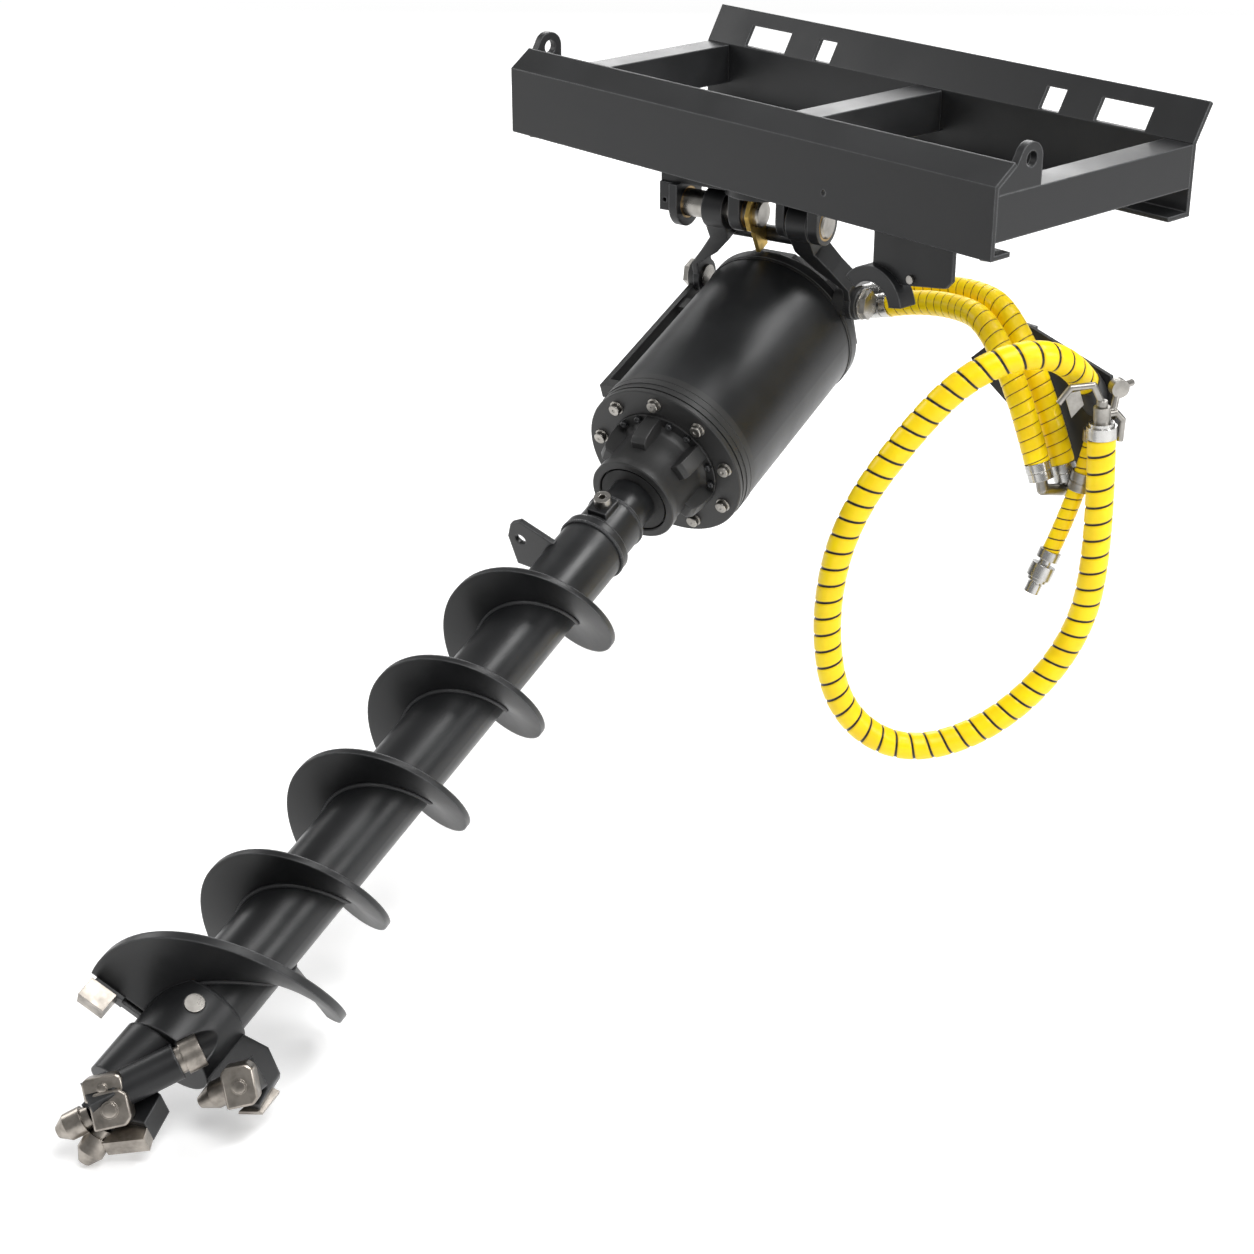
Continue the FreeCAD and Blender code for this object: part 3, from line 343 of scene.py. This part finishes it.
def edge_group():
    """Mask of the edges for the painted edge highlight: how far a rounded normal leans away from the
    flat one, broken up by noise.
    """
    if "edge_highlight" in bpy.data.node_groups:
        return bpy.data.node_groups["edge_highlight"]
    tree, source, sink = new_group(
        "edge_highlight", (("Radius", "value"),), (("Mask", "value"), ("Normal", "vector")))
    bevel = add(tree, "ShaderNodeBevel", samples=6)
    tree.links.new(source.outputs["Radius"], bevel.inputs["Radius"])
    flat = add(tree, "ShaderNodeNewGeometry").outputs["Normal"]
    lean = add(tree, "ShaderNodeVectorMath", operation="DOT_PRODUCT")
    tree.links.new(bevel.outputs["Normal"], lean.inputs[0])
    tree.links.new(flat, lean.inputs[1])
    place = add(tree, "ShaderNodeTexCoord").outputs["Object"]
    # Noise breaks the painted edge highlight into patches.
    highlight_breakup = spread(tree, noise(tree, place, 60.0), 0.3, 0.75, 0.45, 1.0)
    mask = maths(tree, "MULTIPLY", spread(tree, lean.outputs["Value"], 0.995, 0.86), highlight_breakup)
    tree.links.new(mask, sink.inputs["Mask"])
    tree.links.new(bevel.outputs["Normal"], sink.inputs["Normal"])
    return tree


def grain_group():
    """Two scales of noise: broad clouds for colour and fine grain for height."""
    if "grain" in bpy.data.node_groups:
        return bpy.data.node_groups["grain"]
    tree, source, sink = new_group(
        "grain", (("Broad", "value"), ("Fine", "value")), (("Cloud", "value"), ("Height", "value")))
    place = add(tree, "ShaderNodeTexCoord").outputs["Object"]
    tree.links.new(noise(tree, place, source.outputs["Broad"], 3.0), sink.inputs["Cloud"])
    tree.links.new(noise(tree, place, source.outputs["Fine"], 2.0), sink.inputs["Height"])
    return tree


def placed(tree, group, **values):
    """A node group in a material with its own values."""
    item = add(tree, "ShaderNodeGroup", node_tree=group)
    for label, value in values.items():
        feed(tree, item.inputs[label], value)
    return item


def bumped(tree, height, strength, distance, normal=None):
    item = add(tree, "ShaderNodeBump")
    feed(tree, item.inputs["Strength"], strength)
    feed(tree, item.inputs["Distance"], distance)
    feed(tree, item.inputs["Height"], height)
    if normal is not None:
        feed(tree, item.inputs["Normal"], normal)
    return item.outputs["Normal"]


def blank(name):
    material = bpy.data.materials.new(name)
    material.use_nodes = True
    return material, material.node_tree, material.node_tree.nodes["Principled BSDF"]


def paint_material(name, tint, gloss, streaks=0.0):
    """Satin charcoal paint: cloudy tone, fine orange peel, and a painted highlight of paler paint along
    the edges.
    """
    if name in bpy.data.materials:
        return bpy.data.materials[name]
    material, tree, shader = blank(name)
    paint = look().paint
    edge = placed(tree, edge_group(), Radius=paint.bevel)
    grain = placed(tree, grain_group(), Broad=9.0, Fine=900.0)
    base = [channel * tint for channel in paint.colour]
    pale = [channel * 1.5 for channel in base]
    body = mixed(tree, spread(tree, grain.outputs["Cloud"], 0.35, 0.7), rgba(base), rgba(pale))
    # Paler edge paint laid in along the edge mask is a painted highlight.
    feed(tree, shader.inputs["Base Color"], mixed(
        tree, maths(tree, "MULTIPLY", edge.outputs["Mask"], 0.8), body, rgba(paint.edge)))
    feed(tree, shader.inputs["Roughness"], spread(
        tree, grain.outputs["Cloud"], 0.3, 0.7, gloss - 0.05, gloss + 0.07))
    height = grain.outputs["Height"]
    if streaks:
        place = add(tree, "ShaderNodeTexCoord").outputs["Object"]
        height = maths(tree, "ADD", height, maths(
            tree, "MULTIPLY", noise(tree, place, 24.0, 6.0, 0.7), streaks))
    shader.inputs["Specular IOR Level"].default_value = 0.40
    feed(tree, shader.inputs["Normal"], bumped(
        tree, height, 0.12, 0.0004, edge.outputs["Normal"]))
    return material


def steel_material(name, colour, gloss, dirt):
    """Bare or plated steel: fine grain, darker clouds and a painted highlight of paler steel along the
    edges.
    """
    if name in bpy.data.materials:
        return bpy.data.materials[name]
    material, tree, shader = blank(name)
    edge = placed(tree, edge_group(), Radius=0.0012)
    grain = placed(tree, grain_group(), Broad=45.0, Fine=700.0)
    dark = [channel * (1.0 - dirt) for channel in colour]
    # A paler copy of the colour, laid along the edges: a painted highlight.
    bright = [min(1.0, channel * 1.25) for channel in colour]
    body = mixed(tree, spread(tree, grain.outputs["Cloud"], 0.3, 0.62), rgba(dark), rgba(colour))
    feed(tree, shader.inputs["Base Color"], mixed(tree, edge.outputs["Mask"], body, rgba(bright)))
    shader.inputs["Metallic"].default_value = 1.0
    feed(tree, shader.inputs["Roughness"], spread(
        tree, grain.outputs["Cloud"], 0.25, 0.75, gloss + 0.12, gloss))
    feed(tree, shader.inputs["Normal"], bumped(
        tree, grain.outputs["Height"], 0.10, 0.0003, edge.outputs["Normal"]))
    return material


def rubber_material():
    """Black lip seal rubber."""
    material, tree, shader = blank("seal_rubber_black")
    grain = placed(tree, grain_group(), Broad=30.0, Fine=1200.0)
    feed(tree, shader.inputs["Base Color"], mixed(
        tree, grain.outputs["Cloud"], rgba((0.008,) * 3), rgba((0.02,) * 3)))
    feed(tree, shader.inputs["Roughness"], spread(tree, grain.outputs["Cloud"], 0.3, 0.7, 0.55, 0.7))
    feed(tree, shader.inputs["Normal"], bumped(tree, grain.outputs["Height"], 0.2, 0.0003))
    return material


def guard_material(name, share):
    """Yellow spiral guard: a dark gap once a turn, painted shade in darker orange on the lip beside it,
    and a soft shine.
    """
    material, tree, shader = blank(name + "_yellow")
    uv = add(tree, "ShaderNodeUVMap", uv_map="along")
    parts = add(tree, "ShaderNodeSeparateXYZ")
    tree.links.new(uv.outputs["UV"], parts.inputs["Vector"])
    turn = maths(tree, "FRACT", maths(tree, "SUBTRACT", parts.outputs["Y"], parts.outputs["X"]))
    side = maths(tree, "ABSOLUTE", maths(tree, "SUBTRACT", turn, 0.5))
    gap = spread(tree, side, 0.5 - share / 2.0 - 0.012, 0.5 - share / 2.0)
    lip = spread(tree, side, 0.5 - share / 2.0 - 0.10, 0.5 - share / 2.0)
    grain = placed(tree, grain_group(), Broad=26.0, Fine=700.0)
    colour = look().hose.colour
    deep = [channel * left for channel, left in zip(colour, DEEP_SHARES)]
    body = mixed(tree, spread(tree, grain.outputs["Cloud"], 0.35, 0.7), rgba(colour), rgba(deep))
    # Painted shade: each turn darkens towards orange on the lip beside the gap.
    body = mixed(tree, maths(tree, "MULTIPLY", lip, 0.45), body, rgba(SHADED_LIP))
    feed(tree, shader.inputs["Base Color"], mixed(tree, gap, body, rgba(GAP_DARK)))
    feed(tree, shader.inputs["Roughness"], spread(tree, grain.outputs["Cloud"], 0.3, 0.7, 0.28, 0.38))
    shader.inputs["Specular IOR Level"].default_value = 0.35
    feed(tree, shader.inputs["Normal"], bumped(tree, grain.outputs["Height"], 0.05, 0.0003))
    return material


def finish_nodes(names, material):
    """Puts one material on the built pieces with these names."""
    for name in names:
        piece = frame["nodes"][name]
        piece.data.materials.clear()
        piece.data.materials.append(material)


# ------------------------------------------------------------------ mesh helpers
def new_piece(name, points, faces):
    """A piece in the scene from its points and faces."""
    mesh = bpy.data.meshes.new(name)
    mesh.from_pydata(points.reshape(-1, 3).tolist(), [], faces)
    piece = bpy.data.objects.new(name, mesh)
    bpy.context.scene.collection.objects.link(piece)
    return piece


def grid_faces(rows, columns, closed):
    """Four-sided faces over a grid of points numbered row by row, closed around or open."""
    last = columns if closed else columns - 1
    r, c = np.meshgrid(np.arange(rows - 1), np.arange(last), indexing="ij")
    c1 = (c + 1) % columns
    low = r * columns
    high = low + columns
    return np.stack([low + c, low + c1, high + c1, high + c], -1).reshape(-1, 4)


def grid_mesh(name, points, closed=False):
    """A surface over a grid of points: rows run along, columns run around."""
    rows, columns = points.shape[:2]
    piece = new_piece(name, points, grid_faces(rows, columns, closed).tolist())
    mesh = piece.data
    mesh.polygons.foreach_set("use_smooth", np.ones(len(mesh.polygons), dtype=bool))
    mesh.update()
    return piece


def mark_along(piece, heights, sides):
    """A UV map for a tube: once round it is 1 across, and each row's height is its place up."""
    r, c = np.indices((len(heights) - 1, sides))
    across = np.stack([c, c + 1, c + 1, c], -1).reshape(-1) / sides
    up = heights[np.stack([r, r, r + 1, r + 1], -1).reshape(-1)]
    layer = piece.data.uv_layers.new(name="along")
    layer.data.foreach_set("uv", np.stack([across, up], -1).astype(np.float32).ravel())


def along(points):
    """Running length of a path."""
    steps = np.linalg.norm(np.diff(points, axis=0), axis=1)
    return np.concatenate([[0.0], np.cumsum(steps)])


def even_path(points, count):
    """The same path with evenly spaced points."""
    length = along(points)
    wanted = np.linspace(0.0, length[-1], count)
    return np.stack([np.interp(wanted, length, points[:, k]) for k in range(3)], -1)


def side_ways(path):
    """Two unit vectors across the path at each point, carried along without twist."""
    way = np.gradient(path, axis=0)
    way /= np.linalg.norm(way, axis=1)[:, None]
    first = np.cross(way[0], (0.0, 0.0, 1.0))
    if np.linalg.norm(first) < 0.1:
        first = np.cross(way[0], (1.0, 0.0, 0.0))
    sides = [unit(first)]
    for direction in way[1:]:
        sides.append(unit(sides[-1] - direction * np.dot(sides[-1], direction)))
    sides = np.array(sides)
    return sides, np.cross(way, sides)


def unit_rings(first, second, sides):
    """Circles of radius one: cosine of the first way plus sine of the second, for each pair."""
    angle = np.arange(sides) / sides * 2.0 * math.pi
    return (first[:, None, :] * np.cos(angle)[None, :, None]
            + second[:, None, :] * np.sin(angle)[None, :, None])


def tube(name, path, radius, uv_step=None):
    """Closed round tube: a circle at each path point, whose radius is given for each of its points."""
    sides = radius.shape[1]
    points = path[:, None, :] + unit_rings(*side_ways(path), sides) * radius[:, :, None]
    points = np.concatenate([np.repeat(path[:1, None], sides, 1), points,
                             np.repeat(path[-1:, None], sides, 1)])
    piece = grid_mesh(name, points, closed=True)
    if uv_step is not None:
        length = along(path)
        mark_along(piece, np.concatenate([length[:1], length, length[-1:]]) / uv_step, sides)
    merge_caps(piece)
    return piece


def merge_caps(piece):
    """Joins the doubled points in the middle of each end cap, and turns the faces outwards."""
    work = bmesh.new()
    work.from_mesh(piece.data)
    bmesh.ops.remove_doubles(work, verts=work.verts, dist=1e-6)
    bmesh.ops.recalc_face_normals(work, faces=work.faces)
    work.to_mesh(piece.data)
    work.free()


def smooth_route(points):
    """Points of the smooth spline that has these control points."""
    curve = bpy.data.curves.new("route", "CURVE")
    curve.dimensions = "3D"
    curve.resolution_u = 24
    spline = curve.splines.new("NURBS")
    spline.points.add(len(points) - 1)
    for control, place in zip(spline.points, points):
        control.co = (*place, 1.0)
    spline.order_u = 3
    spline.use_endpoint_u = True
    carrier = bpy.data.objects.new("route", curve)
    bpy.context.scene.collection.objects.link(carrier)
    bpy.context.view_layer.update()
    mesh = bpy.data.meshes.new_from_object(carrier)
    values = np.empty(len(mesh.vertices) * 3)
    mesh.vertices.foreach_get("co", values)
    bpy.data.objects.remove(carrier)
    bpy.data.curves.remove(curve)
    bpy.data.meshes.remove(mesh)
    return values.reshape(-1, 3)


def spot(across, front, back):
    """A point from its place across, in front of and back along the drive, in metres."""
    return drive_points((across, -front, back))


def heading(across, front, back):
    """A unit vector given in the same three directions."""
    return unit(spot(across, front, back) - DRIVE_ORIGIN)


def lathe(name, profile, centres, ways, sides=48):
    """Turned parts: each (along, radius) pair of the profile carried round a line, once per centre."""
    profile = np.asarray(profile, dtype=float)
    centres = np.atleast_2d(centres)
    ways = np.broadcast_to(np.atleast_2d(ways), centres.shape)
    ways = ways / np.linalg.norm(ways, axis=1)[:, None]
    first = np.cross(ways, (0.31, 0.17, 0.93))
    first /= np.linalg.norm(first, axis=1)[:, None]
    ring = unit_rings(first, np.cross(ways, first), sides)
    points = (centres[:, None, None, :] + ways[:, None, None, :] * profile[None, :, 0, None, None]
              + ring[:, None, :, :] * profile[None, :, 1, None, None])
    count, rows = points.shape[:2]
    first_point = (np.arange(count) * rows * sides)[:, None, None]
    faces = (grid_faces(rows, sides, closed=True)[None] + first_point).reshape(-1, 4)
    piece = new_piece(name, points, faces.tolist())
    merge_caps(piece)
    smooth(piece)
    return piece


def slab(name, outline, centre, right, up, thick, bevel=0.0015):
    """Prism: an outline across two directions, carried half its thickness each way along the third."""
    right = unit(right)
    out = unit(np.cross(right, up))
    up = np.cross(out, right)
    outline = np.asarray(outline, dtype=float)
    flat = centre + outline[:, :1] * right + outline[:, 1:] * up
    points = np.concatenate([flat - out * thick / 2.0, flat + out * thick / 2.0])
    count = len(outline)
    sides = [[k, (k + 1) % count, (k + 1) % count + count, k + count] for k in range(count)]
    faces = [list(range(count))[::-1], [k + count for k in range(count)]] + sides
    piece = new_piece(name, points, faces)
    merge_caps(piece)
    rounding = piece.modifiers.new("rounding", "BEVEL")
    rounding.width = bevel
    rounding.segments = 2
    smooth(piece)
    return piece


def smooth(piece):
    """Smooth shading with sharp edges kept past 35 degrees."""
    piece.data.polygons.foreach_set("use_smooth", np.ones(len(piece.data.polygons), dtype=bool))
    piece.data.set_sharp_from_angle(angle=math.radians(35.0))
    piece.data.update()


def fitted(piece, material, body):
    """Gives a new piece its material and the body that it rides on."""
    piece.data.materials.append(material)
    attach(piece, body)
    return piece


def weld_bead(name, path, radius, body):
    """A weld: a round bead whose radius ripples once every few millimetres."""
    ripple = 1.0 + WELD_RIPPLE * np.sin(along(path) / RIPPLE_LENGTH * 2.0 * math.pi)
    piece = tube(name, path, np.repeat((radius * ripple)[:, None], 10, axis=1))
    return fitted(piece, paint_material("weld_paint", tint=1.15, gloss=0.36), body)


# ------------------------------------------------------------------ operators
class AugerOperator:
    """Shared switches of this file's operators."""
    bl_options = {"REGISTER", "UNDO"}


class SetStage(AugerOperator, bpy.types.Operator):
    """Places the camera, the pale floor and the soft lights"""
    bl_idname = "auger.stage"
    bl_label = "Stage"

    def execute(self, context):
        scene = context.scene
        data = bpy.data.cameras.new("camera")
        camera = bpy.data.objects.new("camera", data)
        scene.collection.objects.link(camera)
        data.sensor_width = 36.0
        data.lens = look().stage.lens
        data.clip_end = 200.0
        camera.location = CAMERA_PLACE
        camera.rotation_euler = (math.radians(90.0 - CAMERA_DOWN), 0.0, math.radians(CAMERA_TURN))
        scene.camera = camera
        self.lay_floor()
        self.light_world(scene)
        for lamp in LAMPS:
            softbox(*lamp)
        scene.view_settings.view_transform = "Standard"
        return {"FINISHED"}

    def lay_floor(self):
        """A flat floor just under the object, which glows more with distance until it is white."""
        low = CAD_BOX[0][2] - FLOOR_GAP
        steps = np.linspace(-FLOOR_HALF, FLOOR_HALF, 9)
        x, y = np.meshgrid(steps, steps)
        floor = grid_mesh("floor", np.stack([x, y, np.full_like(x, low)], -1))
        material, tree, shader = blank("pale_floor")
        shader.inputs["Base Color"].default_value = rgba(look().stage.floor)
        shader.inputs["Roughness"].default_value = 0.9
        path = add(tree, "ShaderNodeLightPath")
        seen = maths(tree, "MAXIMUM", path.outputs["Is Camera Ray"], path.outputs["Is Glossy Ray"])
        seen = maths(tree, "MAXIMUM", seen, path.outputs["Is Transmission Ray"])
        shader.inputs["Emission Color"].default_value = (1.0, 1.0, 1.0, 1.0)
        place = add(tree, "ShaderNodeTexCoord").outputs["Object"]
        reach = add(tree, "ShaderNodeVectorMath", operation="LENGTH")
        tree.links.new(place, reach.inputs[0])
        glow = spread(tree, reach.outputs["Value"], *FLOOR_GLOW)
        feed(tree, shader.inputs["Emission Strength"], maths(tree, "MULTIPLY", seen, glow))
        floor.data.materials.append(material)

    def light_world(self, scene):
        """Even white light, at full strength only where the camera sees it."""
        world = bpy.data.worlds.new("even_light")
        scene.world = world
        world.use_nodes = True
        sky = world.node_tree.nodes["Background"]
        sky.inputs["Color"].default_value = (1.0, 1.0, 1.0, 1.0)
        path = add(world.node_tree, "ShaderNodeLightPath")
        seen = maths(world.node_tree, "MAXIMUM", path.outputs["Is Camera Ray"],
                     path.outputs["Is Transmission Ray"])
        strength = spread(world.node_tree, seen, 0.0, 1.0, SKY_LIGHT, 1.0)
        feed(world.node_tree, sky.inputs["Strength"], strength)


def softbox(name, place, aim, size, power):
    """A square lamp that faces a point."""
    lamp = bpy.data.lights.new(name, "AREA")
    lamp.size = size
    lamp.energy = power
    carrier = bpy.data.objects.new(name, lamp)
    bpy.context.scene.collection.objects.link(carrier)
    carrier.location = place
    carrier.rotation_euler = (Vector(aim) - Vector(place)).to_track_quat("-Z", "Y").to_euler()


class FinishFrame(AugerOperator, bpy.types.Operator):
    """Paints the loader frame, its ears, hanger and hitch base"""
    bl_idname = "auger.frame"
    bl_label = "Frame"

    def execute(self, context):
        finish_nodes(("front_plate", "rear_plate", "side_tubes", "centre_channel", "lift_ears",
                      "hose_hanger", "hitch_base_plate"),
                     paint_material("frame_paint", tint=1.0, gloss=0.42))
        finish_nodes(("hose_saddle",), paint_material("saddle_paint", tint=1.1, gloss=0.34))
        return {"FINISHED"}


class FinishHitch(AugerOperator, bpy.types.Operator):
    """Paints the swivel, ears and link, and finishes pins, bushes and the keeper"""
    bl_idname = "auger.hitch"
    bl_label = "Hitch"

    def execute(self, context):
        finish_nodes(("swivel_plate", "hinge_ears", "link_yoke"),
                     paint_material("hitch_paint", tint=1.05, gloss=0.38))
        steel = look().steel
        finish_nodes(("pin_keeper",), steel_material("keeper_gold", steel.keeper, gloss=0.30, dirt=0.35))
        finish_nodes(("kingpin_bushes", "ear_bushes"),
                     steel_material("bush_bronze_oiled", BRONZE, gloss=0.34, dirt=0.4))
        finish_nodes(("hinge_pins", "kingpin", "kingpin_nut"),
                     steel_material("pin_steel", steel.plain, gloss=0.24, dirt=0.25))
        return {"FINISHED"}


class FinishDrive(AugerOperator, bpy.types.Operator):
    """Paints the drive, and makes its hood bands, flange, cheek boss and ribbed nose"""
    bl_idname = "auger.drive"
    bl_label = "Drive"

    def execute(self, context):
        finish_nodes(("hood",), paint_material("hood_paint", tint=1.1, gloss=0.36, streaks=2.2))
        paint = paint_material("drive_paint", tint=1.0, gloss=0.36)
        finish_nodes(("hood_rear_cap", "left_side_bar", "motor", "parking_bracket"), paint)
        finish_nodes(("shaft_seal",), rubber_material())
        for name, start, profile in HOOD_BANDS:
            fitted(lathe(name, profile, spot(0.0, 0.0, start), DRIVE_W, sides=128),
                   paint, "drive")
        flange = lathe("flange_casting", FLANGE_PROFILE, DRIVE_ORIGIN, DRIVE_W, sides=128)
        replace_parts(fitted(flange, paint, "drive"), "front_flange")
        cheek = lathe("right_cheek_boss", CHEEK_PROFILE, spot(*CHEEK_CENTRE), DRIVE_A)
        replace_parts(fitted(cheek, paint, "drive"), "right_cheek")
        nose = lathe("nose_casting", NOSE_PROFILE, DRIVE_ORIGIN, DRIVE_W, sides=96)
        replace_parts(fitted(nose, paint, "drive"), "gearbox_nose")
        for index in range(RIB_COUNT):
            angle = math.radians(RIB_START + 360.0 / RIB_COUNT * index)
            out = math.cos(angle) * DRIVE_A + math.sin(angle) * DRIVE_Y
            rib = slab("nose_rib_%d" % (index + 1), RIB_OUTLINE, DRIVE_ORIGIN, out, DRIVE_W, RIB_THICK)
            fitted(rib, paint, "drive")
        return {"FINISHED"}


class FinishFasteners(AugerOperator, bpy.types.Operator):
    """Finishes the bolts, and makes the heads of the flange bolts and the nose bolts"""
    bl_idname = "auger.fasteners"
    bl_label = "Fasteners"

    def execute(self, context):
        steel = look().steel
        bolts = steel_material("bolt_steel", steel.plain, gloss=0.24, dirt=0.3)
        finish_nodes(("frame_bolts", "trunnion_bolts", "socket_bolt", "hub_pin"), bolts)
        heads = lathe("flange_bolt_heads", BOLT_PROFILE, circle_spots(
            BOLT_COUNT, BOLT_CIRCLE, BOLT_START), -DRIVE_W, sides=24)
        fitted(heads, bolts, "drive")
        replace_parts(heads, "gearbox_bolts")
        between = RIB_START + 180.0 / RIB_COUNT
        pairs = np.concatenate([circle_spots(RIB_COUNT, INNER_CIRCLE, between + turn)
                                for turn in (-INNER_BOLT_TURN, INNER_BOLT_TURN)])
        fitted(lathe("nose_bolt_heads", SMALL_BOLT_PROFILE, pairs, -DRIVE_W, sides=24),
               paint_material("black_bolts", tint=0.7, gloss=0.28), "drive")
        return {"FINISHED"}


class FinishGears(AugerOperator, bpy.types.Operator):
    """Finishes the gear train, bearings and shafts as oiled steel"""
    bl_idname = "auger.gears"
    bl_label = "Gear train"

    def execute(self, context):
        finish_nodes(("ring_gear", "sun_shaft", "planet_gear_1", "planet_gear_2", "planet_gear_3",
                      "planet_carrier", "shaft_bearings", "motor_plate"),
                     steel_material("gear_steel_oiled", OILED_STEEL, gloss=0.22, dirt=0.35))
        return {"FINISHED"}


class BuildHoses(AugerOperator, bpy.types.Operator):
    """Makes the four hoses in their spiral guard, whose radius dips at each turn's gap"""
    bl_idname = "auger.hoses"
    bl_label = "Hoses"

    def execute(self, context):
        sides = look().hose.sides
        around = np.arange(sides) / sides
        for name, (radius, pitch, share, points) in ROUTES.items():
            rows = int(along(np.array(points))[-1] / GUARD_STEP)
            path = even_path(smooth_route(points), rows)
            turn = np.mod(along(path)[:, None] / pitch - around[None, :], 1.0)
            past = np.abs(turn - 0.5) - 0.5 + share / 2.0 + DIP_LEAD
            loss = GUARD_FLARE * (1.0 - turn) + GUARD_DIP * np.clip(past / DIP_SLOPE, 0.0, 1.0)
            hose = tube(name + "_guard", path, radius * (GUARD_FULL - loss), pitch)
            hose.data.materials.append(guard_material(name, share))
            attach(hose, "drive")
            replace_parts(hose, name)
        return {"FINISHED"}


class FinishFittings(AugerOperator, bpy.types.Operator):
    """Finishes the ferrules, fittings, coupler and clamp"""
    bl_idname = "auger.fittings"
    bl_label = "Fittings"

    def execute(self, context):
        steel = look().steel
        finish_nodes(("hose_ferrules", "coupler_body", "coupler_sleeve"),
                     steel_material("plated_steel", steel.bright, gloss=0.20, dirt=0.22))
        finish_nodes(("hose_fittings", "clamp_body", "clamp_latch"),
                     steel_material("clamp_steel", steel.plain, gloss=0.30, dirt=0.35))
        finish_nodes(("port_adapters",), paint_material("port_paint", tint=1.0, gloss=0.34))
        return {"FINISHED"}


class FinishAuger(AugerOperator, bpy.types.Operator):
    """Paints the auger and adds the welds along its flights and collars"""
    bl_idname = "auger.auger"
    bl_label = "Auger"

    def execute(self, context):
        finish_nodes(("auger_tube", "drive_socket", "lug_plate", "output_shaft"),
                     paint_material("stem_paint", tint=0.95, gloss=0.33, streaks=1.2))
        finish_nodes(("auger_flights",),
                     paint_material("flight_paint", tint=0.9, gloss=0.36, streaks=1.0))
        for side in (-1.0, 1.0):
            for index, (start, end, thick, pitch) in enumerate((MAIN_RUN, CUT_RUN)):
                ahead = np.linspace(start, end, int((end - start) / WELD_STEP))
                angle = FLIGHT_PHASE + 2.0 * math.pi * (FLIGHT_END - ahead) / pitch
                reach = STEM_RADIUS + WELD_OVER_STEM
                spots = np.stack([reach * np.cos(angle), reach * np.sin(angle),
                                  -ahead - side * (thick / 2.0 + WELD_OVER_FLIGHT)], -1)
                label = "flight_weld_%d%s" % (index + 1, "a" if side < 0 else "b")
                weld_bead(label, drive_points(spots), WELD_RADIUS, "auger")
        for index, (ahead, reach) in enumerate(COLLAR_WELDS):
            angle = np.linspace(0.0, 2.0 * math.pi, COLLAR_WELD_POINTS)
            spots = np.stack([reach * np.cos(angle), reach * np.sin(angle),
                              np.full_like(angle, -ahead)], -1)
            weld_bead("collar_weld_%d" % (index + 1), drive_points(spots), COLLAR_WELD_RADIUS,
                      "auger")
        return {"FINISHED"}


class FinishBit(AugerOperator, bpy.types.Operator):
    """Paints the bit head, finishes its teeth and makes its steel blocks"""
    bl_idname = "auger.bit"
    bl_label = "Bit head"

    def execute(self, context):
        finish_nodes(("bit_hub", "pilot", "tooth_holders"),
                     paint_material("bit_paint", tint=1.05, gloss=0.34, streaks=1.0))
        ground = steel_material("tooth_steel_ground", look().steel.tooth, gloss=0.28, dirt=0.5)
        finish_nodes(("pilot_teeth", "side_teeth"), ground)
        for name, centre, size in BLOCKS:
            self.block(name, spot(*centre), size, ground)
        return {"FINISHED"}

    def block(self, name, centre, size, material):
        """A cast steel block with chamfered corners and a round button on its face."""
        out = heading(*BLOCK_FACE)
        right = heading(*BLOCK_RIGHT)
        up = np.cross(out, right)
        wide, tall, thick = size
        cut = 0.18 * min(wide, tall)
        outline = [(-wide / 2.0, -tall / 2.0), (wide / 2.0 - cut, -tall / 2.0),
                   (wide / 2.0, cut - tall / 2.0), (wide / 2.0, tall / 2.0 - cut),
                   (wide / 2.0 - cut, tall / 2.0), (cut - wide / 2.0, tall / 2.0),
                   (-wide / 2.0, tall / 2.0 - cut)]
        fitted(slab(name, outline, centre, right, up, thick, BLOCK_BEVEL), material, "auger")
        reach = 0.2 * min(wide, tall)
        button = [(0.0, 0.0), (0.0, reach * 1.25), (0.0012, reach * 1.2), (0.0012, reach),
                  (0.0032, reach * 0.96), (0.0038, reach * 0.8), (0.0038, 0.0)]
        fitted(lathe(name + "_button", button, centre + out * (thick / 2.0 - 0.0002), out, sides=40),
               material, "auger")


STEPS = ("stage", "hoses", "frame", "hitch", "drive", "fasteners", "gears", "fittings", "auger", "bit")


class AugerPanel(bpy.types.Panel):
    """Lists the steps and settings of the auger drive's looks"""
    bl_idname = "VIEW3D_PT_auger"
    bl_label = "Auger drive"
    bl_space_type = "VIEW_3D"
    bl_region_type = "UI"
    bl_category = "Auger"

    def draw(self, context):
        for step in STEPS:
            self.layout.operator("auger." + step)
        settings = context.scene.auger_look
        for group in (settings.paint, settings.steel, settings.hose, settings.stage):
            for name in group.bl_rna.properties.keys():
                if name not in ("rna_type", "name"):
                    self.layout.prop(group, name)


CLASSES = (PaintSettings, SteelSettings, HoseSettings, StageSettings, LookSettings, SetStage,
           BuildHoses, FinishFrame, FinishHitch, FinishDrive, FinishFasteners, FinishGears,
           FinishFittings, FinishAuger, FinishBit, AugerPanel)


def register():
    for item in CLASSES:
        bpy.utils.register_class(item)
    bpy.types.Scene.auger_look = PointerProperty(type=LookSettings)


def unregister():
    del bpy.types.Scene.auger_look
    for item in reversed(CLASSES):
        bpy.utils.unregister_class(item)


def main():
    register()
    for step in STEPS:
        getattr(bpy.ops.auger, step)()


if __name__ == "__main__":
    main()
